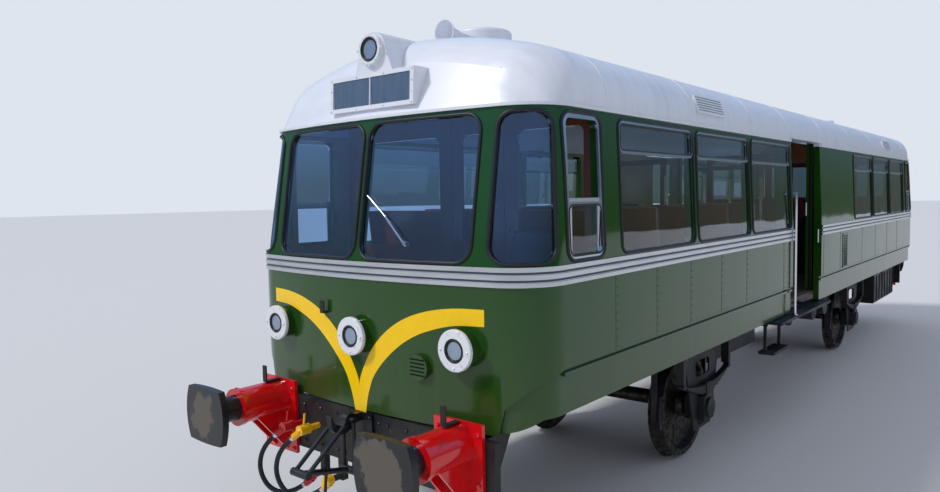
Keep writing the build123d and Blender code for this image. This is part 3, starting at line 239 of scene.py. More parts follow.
def metal(name, main, grime, roughness, grain_mm, stretch=(0.02, 1, 1), share=0.5, dark=0.45):
    """Worked bare metal with lines along it and patches of grime."""
    worked, place = new_finish(name)
    patches = add(worked, "TexNoise", {"Vector": place, **marks(55, 4)}, 0)
    grimy = add(worked, "MapRange", {0: patches, 1: share, 2: share + 0.25, 4: dark}, 0)
    colour = add(worked, "Mix", {0: grimy, 6: main, 7: grime}, 2, data_type="RGBA")
    dull = add(worked, "Math", {0: grimy, 1: 0.5, 2: roughness}, 0, operation="MULTIPLY_ADD")
    drawn = add(worked, "Mapping", {"Vector": place, "Scale": stretch}, 0)
    lines = add(worked, "TexNoise", {"Vector": drawn, **marks(grain_mm)}, 0)
    lines = add(worked, "Bump", {"Height": lines, "Distance": 0.00006}, 0)
    return close_finish(worked, {"Base Color": colour, "Roughness": dull, "Metallic": 1.0, "Normal": lines})


polished_alloy = metal("polished_aluminium_extrusion", "cfd2d4", "84888c", 0.2, 3, share=0.6, dark=0.3)
dress("window_frames", polished_alloy)

# Ribbed aluminium moulding: its two hollows get painted shade, a dark matt grey-blue, so the ribs stand out
# as three bright lines
ribbed_alloy, place = new_finish("aluminium_moulding_with_painted_shade_in_hollows")
height = add(ribbed_alloy, "SeparateXYZ", {0: place}, "Z")
shaded_hollow_masks = []
for low_z, high_z in ((2.0265, 2.0395), (2.0715, 2.0845)):
    above = add(ribbed_alloy, "Math", {0: height, 1: low_z}, 0, operation="GREATER_THAN")
    below = add(ribbed_alloy, "Math", {0: height, 1: high_z}, 0, operation="LESS_THAN")
    shaded_hollow_masks.append(add(ribbed_alloy, "Math", {0: above, 1: below}, 0, operation="MULTIPLY"))
hollow_shade = add(ribbed_alloy, "Math", {0: shaded_hollow_masks[0], 1: shaded_hollow_masks[1]}, 0, operation="MAXIMUM")
drawn = add(ribbed_alloy, "Mapping", {"Vector": place, "Scale": (0.2, 0.2, 1)}, 0)
smears = add(ribbed_alloy, "TexNoise", {"Vector": drawn, **marks(70, 4)}, 0)
smears = add(ribbed_alloy, "MapRange", {0: smears, 1: 0.5, 2: 0.8, 4: 0.35}, 0)
bright = add(ribbed_alloy, "Mix", {0: smears, 6: "d3d6d8", 7: "8d9297"}, 2, data_type="RGBA")
# The dark grey-blue in the two hollows is painted shade
colour = add(ribbed_alloy, "Mix", {0: hollow_shade, 6: bright, 7: "4b535e"}, 2, data_type="RGBA")
bareness = add(ribbed_alloy, "MapRange", {0: hollow_shade, 3: 1.0, 4: 0.4}, 0)
dull = add(ribbed_alloy, "MapRange", {0: hollow_shade, 3: 0.24, 4: 0.5}, 0)
drawn = add(ribbed_alloy, "Mapping", {"Vector": place, "Scale": (0.03, 0.03, 1)}, 0)
lines = add(ribbed_alloy, "TexNoise", {"Vector": drawn, **marks(3)}, 0)
lines = add(ribbed_alloy, "Bump", {"Height": lines, "Distance": 0.00005}, 0)
close_finish(ribbed_alloy, {"Base Color": colour, "Metallic": bareness, "Roughness": dull, "Normal": lines})
dress("waist_mouldings", ribbed_alloy)

# Window glass
# Flat toughened glass in the sides and doors, and laminated glass in the raked screens, in rubber.
# It is faintly blue-green, waves a little, lets light in, and mirrors the sky at a slant.


def safety_glass(name, tint, ior=1.5):
    """Clear tinted glass that casts no dark shadow."""
    glass, place = new_finish(name)
    wave = add(glass, "TexNoise", {"Vector": place, **marks(600, 1)}, 0)
    wave = add(glass, "Bump", {"Height": wave, "Distance": 0.0012}, 0)
    pane = add(glass, "BsdfPrincipled", {"Base Color": tint, "Transmission Weight": 1.0, "IOR": ior,
                                         "Roughness": 0.0, "Normal": wave}, 0)
    clear = add(glass, "BsdfTransparent", {"Color": tint}, 0)
    ray = add(glass, "LightPath").outputs
    passing = add(glass, "Math", {0: ray["Is Shadow Ray"], 1: ray["Is Diffuse Ray"]}, 0,
                  operation="MAXIMUM")
    both = add(glass, "MixShader", {0: passing, 1: pane, 2: clear}, 0)
    add(glass, "OutputMaterial", {"Surface": both})
    return glass


side_glass = safety_glass("toughened_window_glass", "dfecf2")
for name in ("side_window_glass", "left_door_glass", "right_door_glass"):
    dress(name, side_glass)
dress("windscreens", safety_glass("laminated_windscreen_glass", "aecdf4", 1.75))

# Lamps and destination panes
# Cast alloy rims screwed over pressed glass lenses, and a glass front on each destination box.
# The rims are painted silver-white, which has worn grey where hands and clips rub it.
rim_paint, place = new_finish("silver_white_lamp_rim_paint")
worn = add(rim_paint, "TexNoise", {"Vector": place, **marks(25, 4)}, 0)
worn = add(rim_paint, "MapRange", {0: worn, 1: 0.58, 2: 0.7, 4: 0.7}, 0)
colour = add(rim_paint, "Mix", {0: worn, 6: "dfe3e8", 7: "9aa0a8"}, 2, data_type="RGBA")
close_finish(rim_paint, {"Base Color": colour, "Roughness": 0.28, "IOR": 1.5, "Coat Weight": 0.3})
dress("lamp_rims", rim_paint)

# Pressed glass over a silvered reflector: upright flutes break the grey-blue mirror into bands
lens_glass, place = new_finish("fluted_lamp_glass")
flutes = add(lens_glass, "TexWave", {"Vector": place, "Scale": 26.0, "Distortion": 0.0}, "Fac",
             wave_type="BANDS", bands_direction="Y")
flutes = add(lens_glass, "Bump", {"Height": flutes, "Distance": 0.0012}, 0)
close_finish(lens_glass, {"Base Color": "8fa3b8", "Roughness": 0.12, "IOR": 1.52, "Metallic": 0.35,
                          "Coat Weight": 1.0, "Coat Roughness": 0.02, "Normal": flutes})
dress("lamp_lenses", lens_glass)

# Glass over a blank grey-blue blind: faint upright wipe marks under a soft mirror
blind_glass, place = new_finish("glass_over_blank_blind")
drawn_down = add(blind_glass, "Mapping", {"Vector": place, "Scale": (1, 1, 0.1)}, 0)
wiped = add(blind_glass, "TexNoise", {"Vector": drawn_down, **marks(30, 5)}, 0)
colour = add(blind_glass, "Mix", {0: wiped, 6: "4a5e78", 7: "586c85"}, 2, data_type="RGBA")
dull = add(blind_glass, "MapRange", {0: wiped, 1: 0.3, 2: 0.7, 3: 0.15, 4: 0.4}, 0)
close_finish(blind_glass, {"Base Color": colour, "Roughness": dull, "IOR": 1.5, "Coat Weight": 0.6,
                           "Coat Roughness": 0.12})
dress("destination_panes", blind_glass)

# Underframe and running gear
# Rolled sections and plates, riveted and welded, with iron castings bolted on, all painted black.
# Road dust dulls the paint in broad patches, and rust comes through it in specks.


def frame_paint(name, main, dust, rust="4a2c1a", gloss=0.45):
    """Old paint on rough iron, dusty in patches and rusty in specks."""
    paint, place = new_finish(name)
    broad = add(paint, "TexNoise", {"Vector": place, **marks(300, 4)}, 0)
    dusty = add(paint, "MapRange", {0: broad, 1: 0.45, 2: 0.7, 4: 0.7}, 0)
    fine = add(paint, "TexNoise", {"Vector": place, **marks(35, 5)}, 0)
    rusty = add(paint, "MapRange", {0: fine, 1: 0.63, 2: 0.72, 4: 0.8}, 0)
    colour = add(paint, "Mix", {0: dusty, 6: main, 7: dust}, 2, data_type="RGBA")
    colour = add(paint, "Mix", {0: rusty, 6: colour, 7: rust}, 2, data_type="RGBA")
    dull = add(paint, "MapRange", {0: dusty, 2: 0.7, 3: gloss, 4: 0.85}, 0)
    rough_cast = add(paint, "Bump", {"Height": fine, "Distance": 0.0006}, 0)
    return close_finish(paint, {"Base Color": colour, "Roughness": dull, "IOR": 1.5, "Normal": rough_cast})


black_frame = frame_paint("black_underframe_paint", "101113", "3a3631")
for name in ("underframe", "axle_guards", "lamp_irons", "engine", "final_drive", "fuel_tank",
             "exhaust_silencer", "air_reservoirs", "step_boards", "battery_boxes"):
    dress(name, black_frame)
oily_steel = frame_paint("oily_black_drawgear", "15161a", "2c2a2a", "3b2a20", 0.3)
for name in ("drawhooks", "screw_couplings", "axleboxes", "brake_blocks"):
    dress(name, oily_steel)
dress("leaf_springs", frame_paint("painted_spring_leaves", "16171a", "3b352e", "50301c", 0.5))
dress("exhaust_stack", frame_paint("scaled_exhaust_iron", "3b2a22", "5b4436", "7a4020", 0.8))

# Wheelsets
# Rolled steel wheels pressed on a forged axle, turned bright on the tread and left unpainted.
# Brake dust and rust have browned the steel in large patches.
wheel_steel = metal("rolled_wheel_steel", "57534e", "3a2a1f", 0.38, 5, (1, 0.05, 1), 0.4, 0.85)
for name in ("front_wheelset", "rear_wheelset"):
    dress(name, wheel_steel)

# Buffer heads
# Forged discs with flattened tops, painted black. Pressing against other vehicles wears the paint
# off the middle of each face, down to greased brown-grey steel with a ragged edge.
BUFFER_Y, BUFFER_Z = 0.8635, 1.082
head_steel, place = new_finish("worn_black_paint_on_buffer_heads")
scrapes = add(head_steel, "TexNoise", {"Vector": place, **marks(150, 7)}, 0)
spot = add(head_steel, "Mapping", {"Vector": place, "Location": (0, 0, -BUFFER_Z)}, 0)
spot = add(head_steel, "VectorMath", {0: spot}, 0, operation="ABSOLUTE")
spot = add(head_steel, "SeparateXYZ", {0: spot}).outputs
sideways = add(head_steel, "Math", {0: spot["Y"], 1: BUFFER_Y}, 0, operation="SUBTRACT")
reach = add(head_steel, "CombineXYZ", {0: sideways, 1: spot["Z"]}, 0)
reach = add(head_steel, "VectorMath", {0: reach}, "Value", operation="LENGTH")
rubbed = add(head_steel, "MapRange", {0: reach, 1: 0.24, 2: 0.08, 4: 0.32}, 0)
on_face = add(head_steel, "MapRange", {0: spot["X"], 1: 6.968, 2: 6.976}, 0)
bare = add(head_steel, "Math", {0: scrapes, 1: rubbed}, 0, operation="ADD")
bare = add(head_steel, "MapRange", {0: bare, 1: 0.68, 2: 0.74, 4: 0.85}, 0)
bare = add(head_steel, "Math", {0: bare, 1: on_face}, 0, operation="MULTIPLY")
colour = add(head_steel, "Mix", {0: bare, 6: "17181b", 7: "5e564c"}, 2, data_type="RGBA")
dull = add(head_steel, "MapRange", {0: bare, 3: 0.3, 4: 0.55}, 0)
scrapes = add(head_steel, "Bump", {"Height": scrapes, "Distance": 0.0008}, 0)
close_finish(head_steel, {"Base Color": colour, "Roughness": dull, "IOR": 1.5, "Normal": scrapes})
dress("buffer_heads", head_steel)

# Buffer housings
# Steel tubes welded to gusseted plates and bolted to the headstock, under thick red gloss enamel.
# The enamel shines wet and has darkened where it is worn.
red_enamel, place = new_finish("gloss_red_enamel")
worn = add(red_enamel, "TexNoise", {"Vector": place, **marks(70, 5)}, 0)
worn = add(red_enamel, "MapRange", {0: worn, 1: 0.6, 2: 0.72, 4: 0.5}, 0)
colour = add(red_enamel, "Mix", {0: worn, 6: "d6050e", 7: "8a0a10"}, 2, data_type="RGBA")
dull = add(red_enamel, "MapRange", {0: worn, 2: 0.5, 3: 0.14, 4: 0.4}, 0)
brushed = add(red_enamel, "TexNoise", {"Vector": place, **marks(30, 2)}, 0)
brushed = add(red_enamel, "Bump", {"Height": brushed, "Distance": 0.0003}, 0)
close_finish(red_enamel, {"Base Color": colour, "Roughness": dull, "Normal": brushed, "IOR": 1.5,
                          "Coat Weight": 0.6, "Coat Roughness": 0.05})
dress("buffer_housings", red_enamel)

# Air hoses and their cocks
# Stiff fabric-laid rubber hose with a matt black skin, clipped to brass cocks at the headstock and to
# dummy holders by the coupling. One line's brass is painted red and the other's yellow, both chipped.
hose_rubber, place = new_finish("fabric_laid_rubber_hose")
plies = add(hose_rubber, "TexNoise", {"Vector": place, **marks(4, 2)}, 0)
colour = add(hose_rubber, "Mix", {0: plies, 6: "121214", 7: "26262a"}, 2, data_type="RGBA")
plies = add(hose_rubber, "Bump", {"Height": plies, "Distance": 0.0004}, 0)
close_finish(hose_rubber, {"Base Color": colour, "Roughness": 0.55, "IOR": 1.52, "Normal": plies})
HOSE_DIAMETER = 0.034
hose_route = [(6.530, -0.694, 0.872), (6.574, -0.788, 0.790), (6.604, -0.826, 0.620),
              (6.592, -0.722, 0.480), (6.524, -0.560, 0.466), (6.474, -0.456, 0.552)]
hose_ends = []
# Columns: name, shift of the route, which end of the vehicle
for name, shift, end in (
    ("front_red_line_hose", (0, 0, 0), 1), ("front_yellow_line_hose", (0, 0.193, 0.014), 1),
    ("rear_red_line_hose", (0, 0, 0), -1), ("rear_yellow_line_hose", (0, 0.193, 0.014), -1),
):
    points = [Vector(point) + Vector(shift) for point in hose_route]
    points = [Vector((point.x * end, point.y * end, point.z)) for point in points]
    line = bpy.data.curves.new(name, "CURVE")
    line.dimensions = "3D"
    line.bevel_depth = HOSE_DIAMETER / 2
    line.bevel_resolution = 8
    line.use_fill_caps = True
    spline = line.splines.new("NURBS")
    spline.points.add(len(points) - 1)
    for spot, point in zip(spline.points, points):
        spot.co = (*point, 1)
    spline.order_u = 3
    spline.use_endpoint_u = True
    spline.resolution_u = 16
    line.materials.append(hose_rubber)
    hose = bpy.data.objects.new(name, line)
    bpy.context.scene.collection.objects.link(hose)
    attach(hose, "car_body")
    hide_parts("brake_hoses")
    hose_ends += [(points[0], points[1] - points[0]), (points[-1], points[-2] - points[-1])]
for name, slot, main, under in (("red_hose_fittings", "valve_red", "c8141a", "5d1512"),
                                ("yellow_hose_fittings", "valve_yellow", "f2b705", "7a5a14")):
    fitting, place = new_finish(name.replace("hose_fittings", "painted_brass"))
    chips = add(fitting, "TexNoise", {"Vector": place, **marks(12, 4)}, 0)
    chips = add(fitting, "MapRange", {0: chips, 1: 0.6, 2: 0.68, 4: 0.8}, 0)
    colour = add(fitting, "Mix", {0: chips, 6: main, 7: under}, 2, data_type="RGBA")
    close_finish(fitting, {"Base Color": colour, "Roughness": 0.3, "IOR": 1.5, "Coat Weight": 0.3})
    dress(name, fitting)

# Wipers, grab poles and door handles
# Steel rod and tube, bent, screwed on and chromium plated.
# The plate is mirror bright with fine pits and a little grime.
chrome = metal("pitted_chromium_plate", "d9dbde", "84868a", 0.07, 6, (1, 1, 1), 0.6, 0.3)
for name in ("wipers", "grab_poles", "door_rails"):
    dress(name, chrome)

# Floor
# Brown linoleum glued to ply boards, which are painted black underneath against the road dirt.
# The sheet is marbled in two browns with a low sheen.
lino, place = new_finish("marbled_brown_linoleum")
marbling = add(lino, "TexNoise", {"Vector": place, **marks(60, 6)}, 0)
sheet = add(lino, "Mix", {0: marbling, 6: "3b2a21", 7: "5a4334"}, 2, data_type="RGBA")
normal = add(lino, "NewGeometry", give="True Normal")
level = add(lino, "SeparateXYZ", {0: normal}, "Z")
underside = add(lino, "MapRange", {0: level, 1: -0.4, 2: -0.6}, 0)
colour = add(lino, "Mix", {0: underside, 6: sheet, 7: "1d1e20"}, 2, data_type="RGBA")
marbling = add(lino, "Bump", {"Height": marbling, "Distance": 0.0002}, 0)
close_finish(lino, {"Base Color": colour, "Roughness": 0.5, "IOR": 1.5, "Normal": marbling})
dress("floor", lino)

# Cab partitions and desks
# Plywood faced with an orange-brown hardwood, screwed to the body frame and varnished.
# The grain runs upright in fine dark fibres and broad bands under a clear gloss.
veneer, place = new_finish("varnished_hardwood_veneer")
drawn_down = add(veneer, "Mapping", {"Vector": place, "Scale": (1, 1, 0.04)}, 0)
fibres = add(veneer, "TexNoise", {"Vector": drawn_down, **marks(16, 6)}, 0)
drawn_down = add(veneer, "Mapping", {"Vector": place, "Scale": (1, 1, 0.12)}, 0)
bands = add(veneer, "TexNoise", {"Vector": drawn_down, **marks(140)}, 0)
bands = add(veneer, "MapRange", {0: bands, 1: 0.35, 2: 0.7}, 0)
wood = add(veneer, "Mix", {0: fibres, 6: "6d2f10", 7: "a8561f"}, 2, data_type="RGBA")
wood = add(veneer, "Mix", {0: bands, 6: wood, 7: "8a4216"}, 2, data_type="RGBA")
fibres = add(veneer, "Bump", {"Height": fibres, "Distance": 0.00015}, 0)
close_finish(veneer, {"Base Color": wood, "Roughness": 0.22, "IOR": 1.5, "Normal": fibres,
                      "Coat Weight": 0.7, "Coat Roughness": 0.08})
for name in ("cab_bulkheads", "front_cab_door", "rear_cab_door", "driver_desks"):
    dress(name, veneer)

# Vestibule partitions
# Plywood screens beside the doorways, bolted to floor and roof.
# They are painted navy blue to waist height and maroon above, and the gloss is scuffed.
screen_paint, place = new_finish("navy_and_maroon_gloss_paint")
height = add(screen_paint, "SeparateXYZ", {0: place}, "Z")
upper = add(screen_paint, "MapRange", {0: height, 1: 2.140, 2: 2.145}, 0)
scuffs = add(screen_paint, "TexNoise", {"Vector": place, **marks(120, 5)}, 0)
navy = add(screen_paint, "Mix", {0: scuffs, 6: "141a38", 7: "1c2446"}, 2, data_type="RGBA")
maroon = add(screen_paint, "Mix", {0: scuffs, 6: "4a1512", 7: "5c1d18"}, 2, data_type="RGBA")
colour = add(screen_paint, "Mix", {0: upper, 6: navy, 7: maroon}, 2, data_type="RGBA")
close_finish(screen_paint, {"Base Color": colour, "Roughness": 0.3, "IOR": 1.5, "Coat Weight": 0.3})
dress("vestibule_screens", screen_paint)

# Yellow whiskers
# Two bands of yellow enamel that sweep in from above the outer lamps and run down to one foot.
# They are painted on the skin, so each is a thin film that follows the bowed nose.
SILL_Z, GUTTER_Z, TUCK_Z, NOSE_FOOT_Z = 2.113, 3.041, 1.5, 1.128
BOW, CORNER = 6.0, 0.33


def between(z, low_z, high_z, low, high):
    """A size that runs in a straight line from one height to another."""
    share = min(1.0, max(0.0, (z - low_z) / (high_z - low_z)))
    return low + share * (high - low)


def skin_sizes(z):
    """The body's nose reach and half width at a height."""
    if z > SILL_Z:
        return between(z, SILL_Z, GUTTER_Z, 6.36, 6.21), between(z, SILL_Z, GUTTER_Z, 1.33, 1.291)
    return between(z, NOSE_FOOT_Z, TUCK_Z, 6.352, 6.36), between(z, NOSE_FOOT_Z, TUCK_Z, 1.322, 1.33)


def off_skin(point):
    """Distance outside the body's skin, and the outward direction, for a point at the front left."""
    nose, half = skin_sizes(point.z)
    corner_x = nose - BOW + math.sqrt((BOW - CORNER) ** 2 - (half - CORNER) ** 2)
    corner_y = half - CORNER
    from_bow = point - Vector((nose - BOW, 0, point.z))
    from_corner = point - Vector((corner_x, corner_y, point.z))
    lean = math.atan2(from_corner.y, from_corner.x)
    if lean > math.pi / 2 or (point.x < corner_x and point.y > 0):
        return point.y - half, Vector((0, 1, 0))
    if lean > math.atan2(corner_y, corner_x - nose + BOW):
        return from_corner.length - CORNER, from_corner.normalized()
    return from_bow.length - BOW, from_bow.normalized()


def press(point, direction, lift):
    """Moves a point along a direction onto the skin, then out from it by the lift."""
    low, high = -1.0, 1.5
    for _ in range(36):
        middle = (low + high) / 2
        if off_skin(point + direction * middle)[0] > 0:
            high = middle
        else:
            low = middle
    hit = point + direction * low
    return hit + off_skin(hit)[1] * lift


def finish_piece(shape, name, material, body="car_body"):
    """Makes a bmesh a piece of the object with its finish, slot and body."""
    data = plain_mesh(shape, name)
    data.materials.append(material)
    piece = bpy.data.objects.new(name, data)
    bpy.context.scene.collection.objects.link(piece)
    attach(piece, body)
    return piece


def both_sides(shape):
    """Adds a copy of everything mirrored to the vehicle's other side."""
    copied = bmesh.ops.duplicate(shape, geom=shape.verts[:] + shape.edges[:] + shape.faces[:])["geom"]
    verts = [item for item in copied if isinstance(item, bmesh.types.BMVert)]
    bmesh.ops.scale(shape, verts=verts, vec=(1, -1, 1))
    faces = [item for item in copied if isinstance(item, bmesh.types.BMFace)]
    bmesh.ops.reverse_faces(shape, faces=faces)


def both_ends(shape):
    """Adds a copy of everything turned half round to the vehicle's other end."""
    copied = bmesh.ops.duplicate(shape, geom=shape.verts[:] + shape.edges[:] + shape.faces[:])["geom"]
    verts = [item for item in copied if isinstance(item, bmesh.types.BMVert)]
    bmesh.ops.rotate(shape, verts=verts, cent=(0, 0, 0), matrix=Matrix.Rotation(math.pi, 3, "Z"))


# Columns: share of the band's length, y and z of its outer edge, y and z of its inner edge
whisker_edges = [
    (0.00, 1.000, 1.766, 1.000, 1.866),
    (0.16, 0.790, 1.756, 0.790, 1.860),
    (0.31, 0.595, 1.706, 0.590, 1.828),
    (0.44, 0.455, 1.645, 0.410, 1.766),
    (0.56, 0.335, 1.566, 0.260, 1.674),
    (0.68, 0.218, 1.462, 0.143, 1.562),
    (0.78, 0.135, 1.362, 0.062, 1.443),
    (0.86, 0.090, 1.262, 0.012, 1.345),
    (0.92, 0.068, 1.190, 0.000, 1.280),
    (1.00, 0.052, 1.112, 0.000, 1.112),
]


def along_whisker(share, across):
    """A point of the band in front view, smooth through the table's rows."""
    last = len(whisker_edges) - 1
    index = max(i for i in range(last) if share >= whisker_edges[i][0] - 1e-9)
    rows = [whisker_edges[min(max(index + k, 0), last)][1:] for k in (-1, 0, 1, 2)]
    t = (share - whisker_edges[index][0]) / (whisker_edges[index + 1][0] - whisker_edges[index][0])
    weights = ((2 * t ** 2 - t ** 3 - t) / 2, (3 * t ** 3 - 5 * t ** 2 + 2) / 2,
               (4 * t ** 2 - 3 * t ** 3 + t) / 2, (t ** 3 - t ** 2) / 2)
    edges = [sum(weight * row[column] for weight, row in zip(weights, rows)) for column in range(4)]
    outer, inner = Vector(edges[:2]), Vector(edges[2:])
    spot = outer.lerp(inner, across)
    return max(0.0, spot.x), spot.y


# Enamel brushed on by hand: the yellow thins a little from stroke to stroke
yellow_enamel, place = new_finish("yellow_line_enamel")
strokes = add(yellow_enamel, "TexNoise", {"Vector": place, **marks(40, 4)}, 0)
colour = add(yellow_enamel, "Mix", {0: strokes, 6: "ffd400", 7: "f7c300"}, 2, data_type="RGBA")
close_finish(yellow_enamel, {"Base Color": colour, "Roughness": 0.25, "IOR": 1.4, "Coat Weight": 0.1})
whiskers = bmesh.new()
bmesh.ops.create_grid(whiskers, x_segments=60, y_segments=6, size=0.5)
for vert in whiskers.verts:
    y, z = along_whisker(vert.co.x + 0.5, vert.co.y + 0.5)
    vert.co = press(Vector((5.9, y, z)), Vector((1, 0, 0)), 0.0012)
both_sides(whiskers)
bmesh.ops.remove_doubles(whiskers, verts=whiskers.verts[:], dist=0.0005)
bmesh.ops.solidify(whiskers, geom=whiskers.faces[:], thickness=0.0008)
bmesh.ops.recalc_face_normals(whiskers, faces=whiskers.faces[:])
both_ends(whiskers)
finish_piece(whiskers, "yellow_whiskers", yellow_enamel)

# Window rubbers
# Black extruded glazing rubber. Round each raked screen and cab window it is a channel with a filler
# strip let into its face, and round each saloon window a plain half-round lip.


def rounded(corners, radius, step):
    """Points round a convex outline in two coordinates, with its corners rounded."""
    outline = []
    count = len(corners)
    for index in range(count):
        before, here, after = (Vector(corners[(index + k) % count]) for k in (-1, 0, 1))
        back, on = (before - here).normalized(), (after - here).normalized()
        half = back.angle(on) / 2
        centre = here + (back + on).normalized() * (radius / math.sin(half))
        start = here + back * (radius / math.tan(half)) - centre
        sense = 1 if back.x * on.y - back.y * on.x < 0 else -1
        for turn in range(9):
            swing = Matrix.Rotation(sense * (math.pi - 2 * half) * turn / 8, 2)
            outline.append(centre + swing @ start)
    filled = []
    for index, here in enumerate(outline):
        after = outline[(index + 1) % len(outline)]
        parts = max(1, math.ceil((after - here).length / step))
        filled += [here + (after - here) * k / parts for k in range(parts)]
    return filled


def rim_outline(corners, radius, grow):
    """The rounded outline moved outwards by an amount."""
    middle = sum((Vector(c) for c in corners), Vector((0, 0))) / len(corners)
    moved = [(u + math.copysign(grow, u - middle.x), z + math.copysign(grow, z - middle.y))
             for u, z in corners]
    return rounded(moved, radius + grow, 0.06)


def tube_rings(paths, radius):
    """Closed tubes along several paths, as one bmesh."""
    line = bpy.data.curves.new("rings", "CURVE")
    line.dimensions = "3D"
    line.bevel_depth = radius
    line.bevel_resolution = 3
    for points in paths:
        spline = line.splines.new("POLY")
        spline.points.add(len(points) - 1)
        for spot, point in zip(spline.points, points):
            spot.co = (*point, 1)
        spline.use_cyclic_u = True
    holder = bpy.data.objects.new("rings", line)
    data = bpy.data.meshes.new_from_object(holder)
    shape = bmesh.new()
    shape.from_mesh(data)
    bpy.data.objects.remove(holder)
    bpy.data.curves.remove(line)
    bpy.data.meshes.remove(data)
    for face in shape.faces:
        face.smooth = True
    return shape


def join(shape, other):
    """Adds a second bmesh to the first."""
    data = plain_mesh(other, "joined")
    shape.from_mesh(data)
    bpy.data.meshes.remove(data)


def gasket_path(corners, radius, grow, lift, side):
    """The path of a rubber on the skin round a window, whose corners lie on one side of the body."""
    start, along, outward = side
    return [press(start + along * spot.x + Vector((0, 0, spot.y)), outward, lift)
            for spot in rim_outline(corners, radius, grow)]


# Rubber that has bloomed: black with a grey film in places, and a soft sheen
rubber, place = new_finish("black_glazing_rubber")
bloom = add(rubber, "TexNoise", {"Vector": place, **marks(40, 4)}, 0)
colour = add(rubber, "Mix", {0: bloom, 6: "0d0d0e", 7: "1f1e1f"}, 2, data_type="RGBA")
bloom = add(rubber, "Bump", {"Height": bloom, "Distance": 0.0002}, 0)
close_finish(rubber, {"Base Color": colour, "Roughness": 0.42, "IOR": 1.5, "Normal": bloom})
SILL, HEAD = 2.137, 3.002
diagonal = Vector((1, 1, 0)).normalized()
# Each side: a start, the direction of the first coordinate, and the way out
nose_side = (Vector((5.9, 0, 0)), Vector((0, 1, 0)), Vector((1, 0, 0)))
corner_side = (Vector((2.9, 2.9, 0)), Vector((-1, 1, 0)).normalized(), diagonal)
long_side = (Vector((0, 1.2, 0)), Vector((1, 0, 0)), Vector((0, 1, 0)))
windscreen = [(0.03, SILL), (0.90, SILL), (0.90, HEAD), (0.03, HEAD)]
corner_screen = [(-3.706, SILL), (-3.316, SILL), (-3.316, HEAD), (-3.608, HEAD)]
cab_window = [(5.46, SILL), (5.88, SILL), (5.88, HEAD), (5.46, HEAD)]
for name, windows in (
    ("windscreen_rubbers", [(windscreen, 0.10, nose_side), (corner_screen, 0.09, corner_side)]),
    ("cab_window_rubbers", [(cab_window, 0.07, long_side)]),
):
    channels = tube_rings([gasket_path(c, r, 0.009, 0.001, side) for c, r, side in windows], 0.0115)
    join(channels, tube_rings([gasket_path(c, r, -0.005, -0.004, side) for c, r, side in windows], 0.0085))
    both_sides(channels)
    both_ends(channels)
    finish_piece(channels, name, rubber)
SALOON_WINDOWS, HALF_WINDOW = (4.612, 3.336, 2.06), 0.6
saloon_paths = []
for centre in SALOON_WINDOWS:
    left, right = centre - HALF_WINDOW, centre + HALF_WINDOW
    corners = [(left, SILL), (right, SILL), (right, HEAD), (left, HEAD)]
    saloon_paths.append(gasket_path(corners, 0.06, 0.007, 0.001, long_side))
saloon_rubbers = tube_rings(saloon_paths, 0.0095)
both_sides(saloon_rubbers)
both_ends(saloon_rubbers)
finish_piece(saloon_rubbers, "saloon_window_rubbers", rubber)

# Rubbers of the hopper lights and drop sashes
# A thin black section pressed in inside each alloy frame, which grips the pane of the saloon
# windows' tilting top lights and of the cab's sliding lower lights.
HOPPER_SILL, FRAME_BAR = 2.786, 0.026
light_paths = []
for centre in SALOON_WINDOWS:
    left, right = centre - HALF_WINDOW + FRAME_BAR, centre + HALF_WINDOW - FRAME_BAR
    foot, top = HOPPER_SILL + FRAME_BAR, HEAD - FRAME_BAR
    corners = [(left, foot), (right, foot), (right, top), (left, top)]
    light_paths.append(gasket_path(corners, 0.035, -0.004, -0.002, long_side))
sash = [(5.486, 2.163), (5.854, 2.163), (5.854, 2.452), (5.486, 2.452)]
light_paths.append(gasket_path(sash, 0.05, -0.006, -0.001, long_side))
light_rubbers = tube_rings(light_paths, 0.008)
both_sides(light_rubbers)
both_ends(light_rubbers)
finish_piece(light_rubbers, "hopper_and_sash_rubbers", rubber)

# Door rubbers
# A glazing channel round each door's pane on both faces, and a soft rubber nosing
# glued down its leading edge.
for name, body, outward in (("left_door", "left_sliding_door", 1), ("right_door", "right_sliding_door", -1)):
    low, high = (Vector(corner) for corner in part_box(name))
    pane_low, pane_high = (Vector(corner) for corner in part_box(name + "_glass"))
    corners = [(pane_low.x, pane_low.z), (pane_high.x, pane_low.z),
               (pane_high.x, pane_high.z), (pane_low.x, pane_high.z)]
    rings = [[Vector((p.x, face_y, p.y)) for p in rim_outline(corners, 0.07, 0.004)]
             for face_y in (low.y + 0.0005, high.y - 0.0005)]
    channel = tube_rings(rings, 0.004)
    lead = high.x if outward == 1 else low.x
    middle = Matrix.Translation((lead + outward * 0.001, (low.y + high.y) / 2, (low.z + high.z) / 2))
    size = Matrix.Diagonal((0.006, high.y - low.y - 0.006, high.z - low.z - 0.02, 1))
    nosing = bmesh.ops.create_cube(channel, size=1.0, matrix=middle @ size)["verts"]
    edges = list({edge for vert in nosing for edge in vert.link_edges})
    bmesh.ops.bevel(channel, geom=edges, offset=0.0015, segments=2, affect="EDGES", profile=0.5, material=-1)
    finish_piece(channel, name + "_rubbers", rubber, body)

# Panel joints
# The side sheets meet under narrow enamelled cover strips, held by two rows of small round-headed
# rivets, and one more row of rivets runs along the panels' foot.


def bevelled_blocks(rows, bevel, turn=None):
    """Blocks with softened edges from their limits along X, Y and Z, each turned about its own middle."""
    shape = bmesh.new()
    for x0, x1, y0, y1, z0, z1 in rows:
        middle = Matrix.Translation(((x0 + x1) / 2, (y0 + y1) / 2, (z0 + z1) / 2))
        size = Matrix.Diagonal((x1 - x0, y1 - y0, z1 - z0, 1))
        bmesh.ops.create_cube(shape, size=1.0, matrix=middle @ (turn or Matrix.Identity(4)) @ size)
    bmesh.ops.bevel(shape, geom=shape.edges[:], offset=bevel, segments=2, affect="EDGES", profile=0.5,
                    material=-1)
    return shape


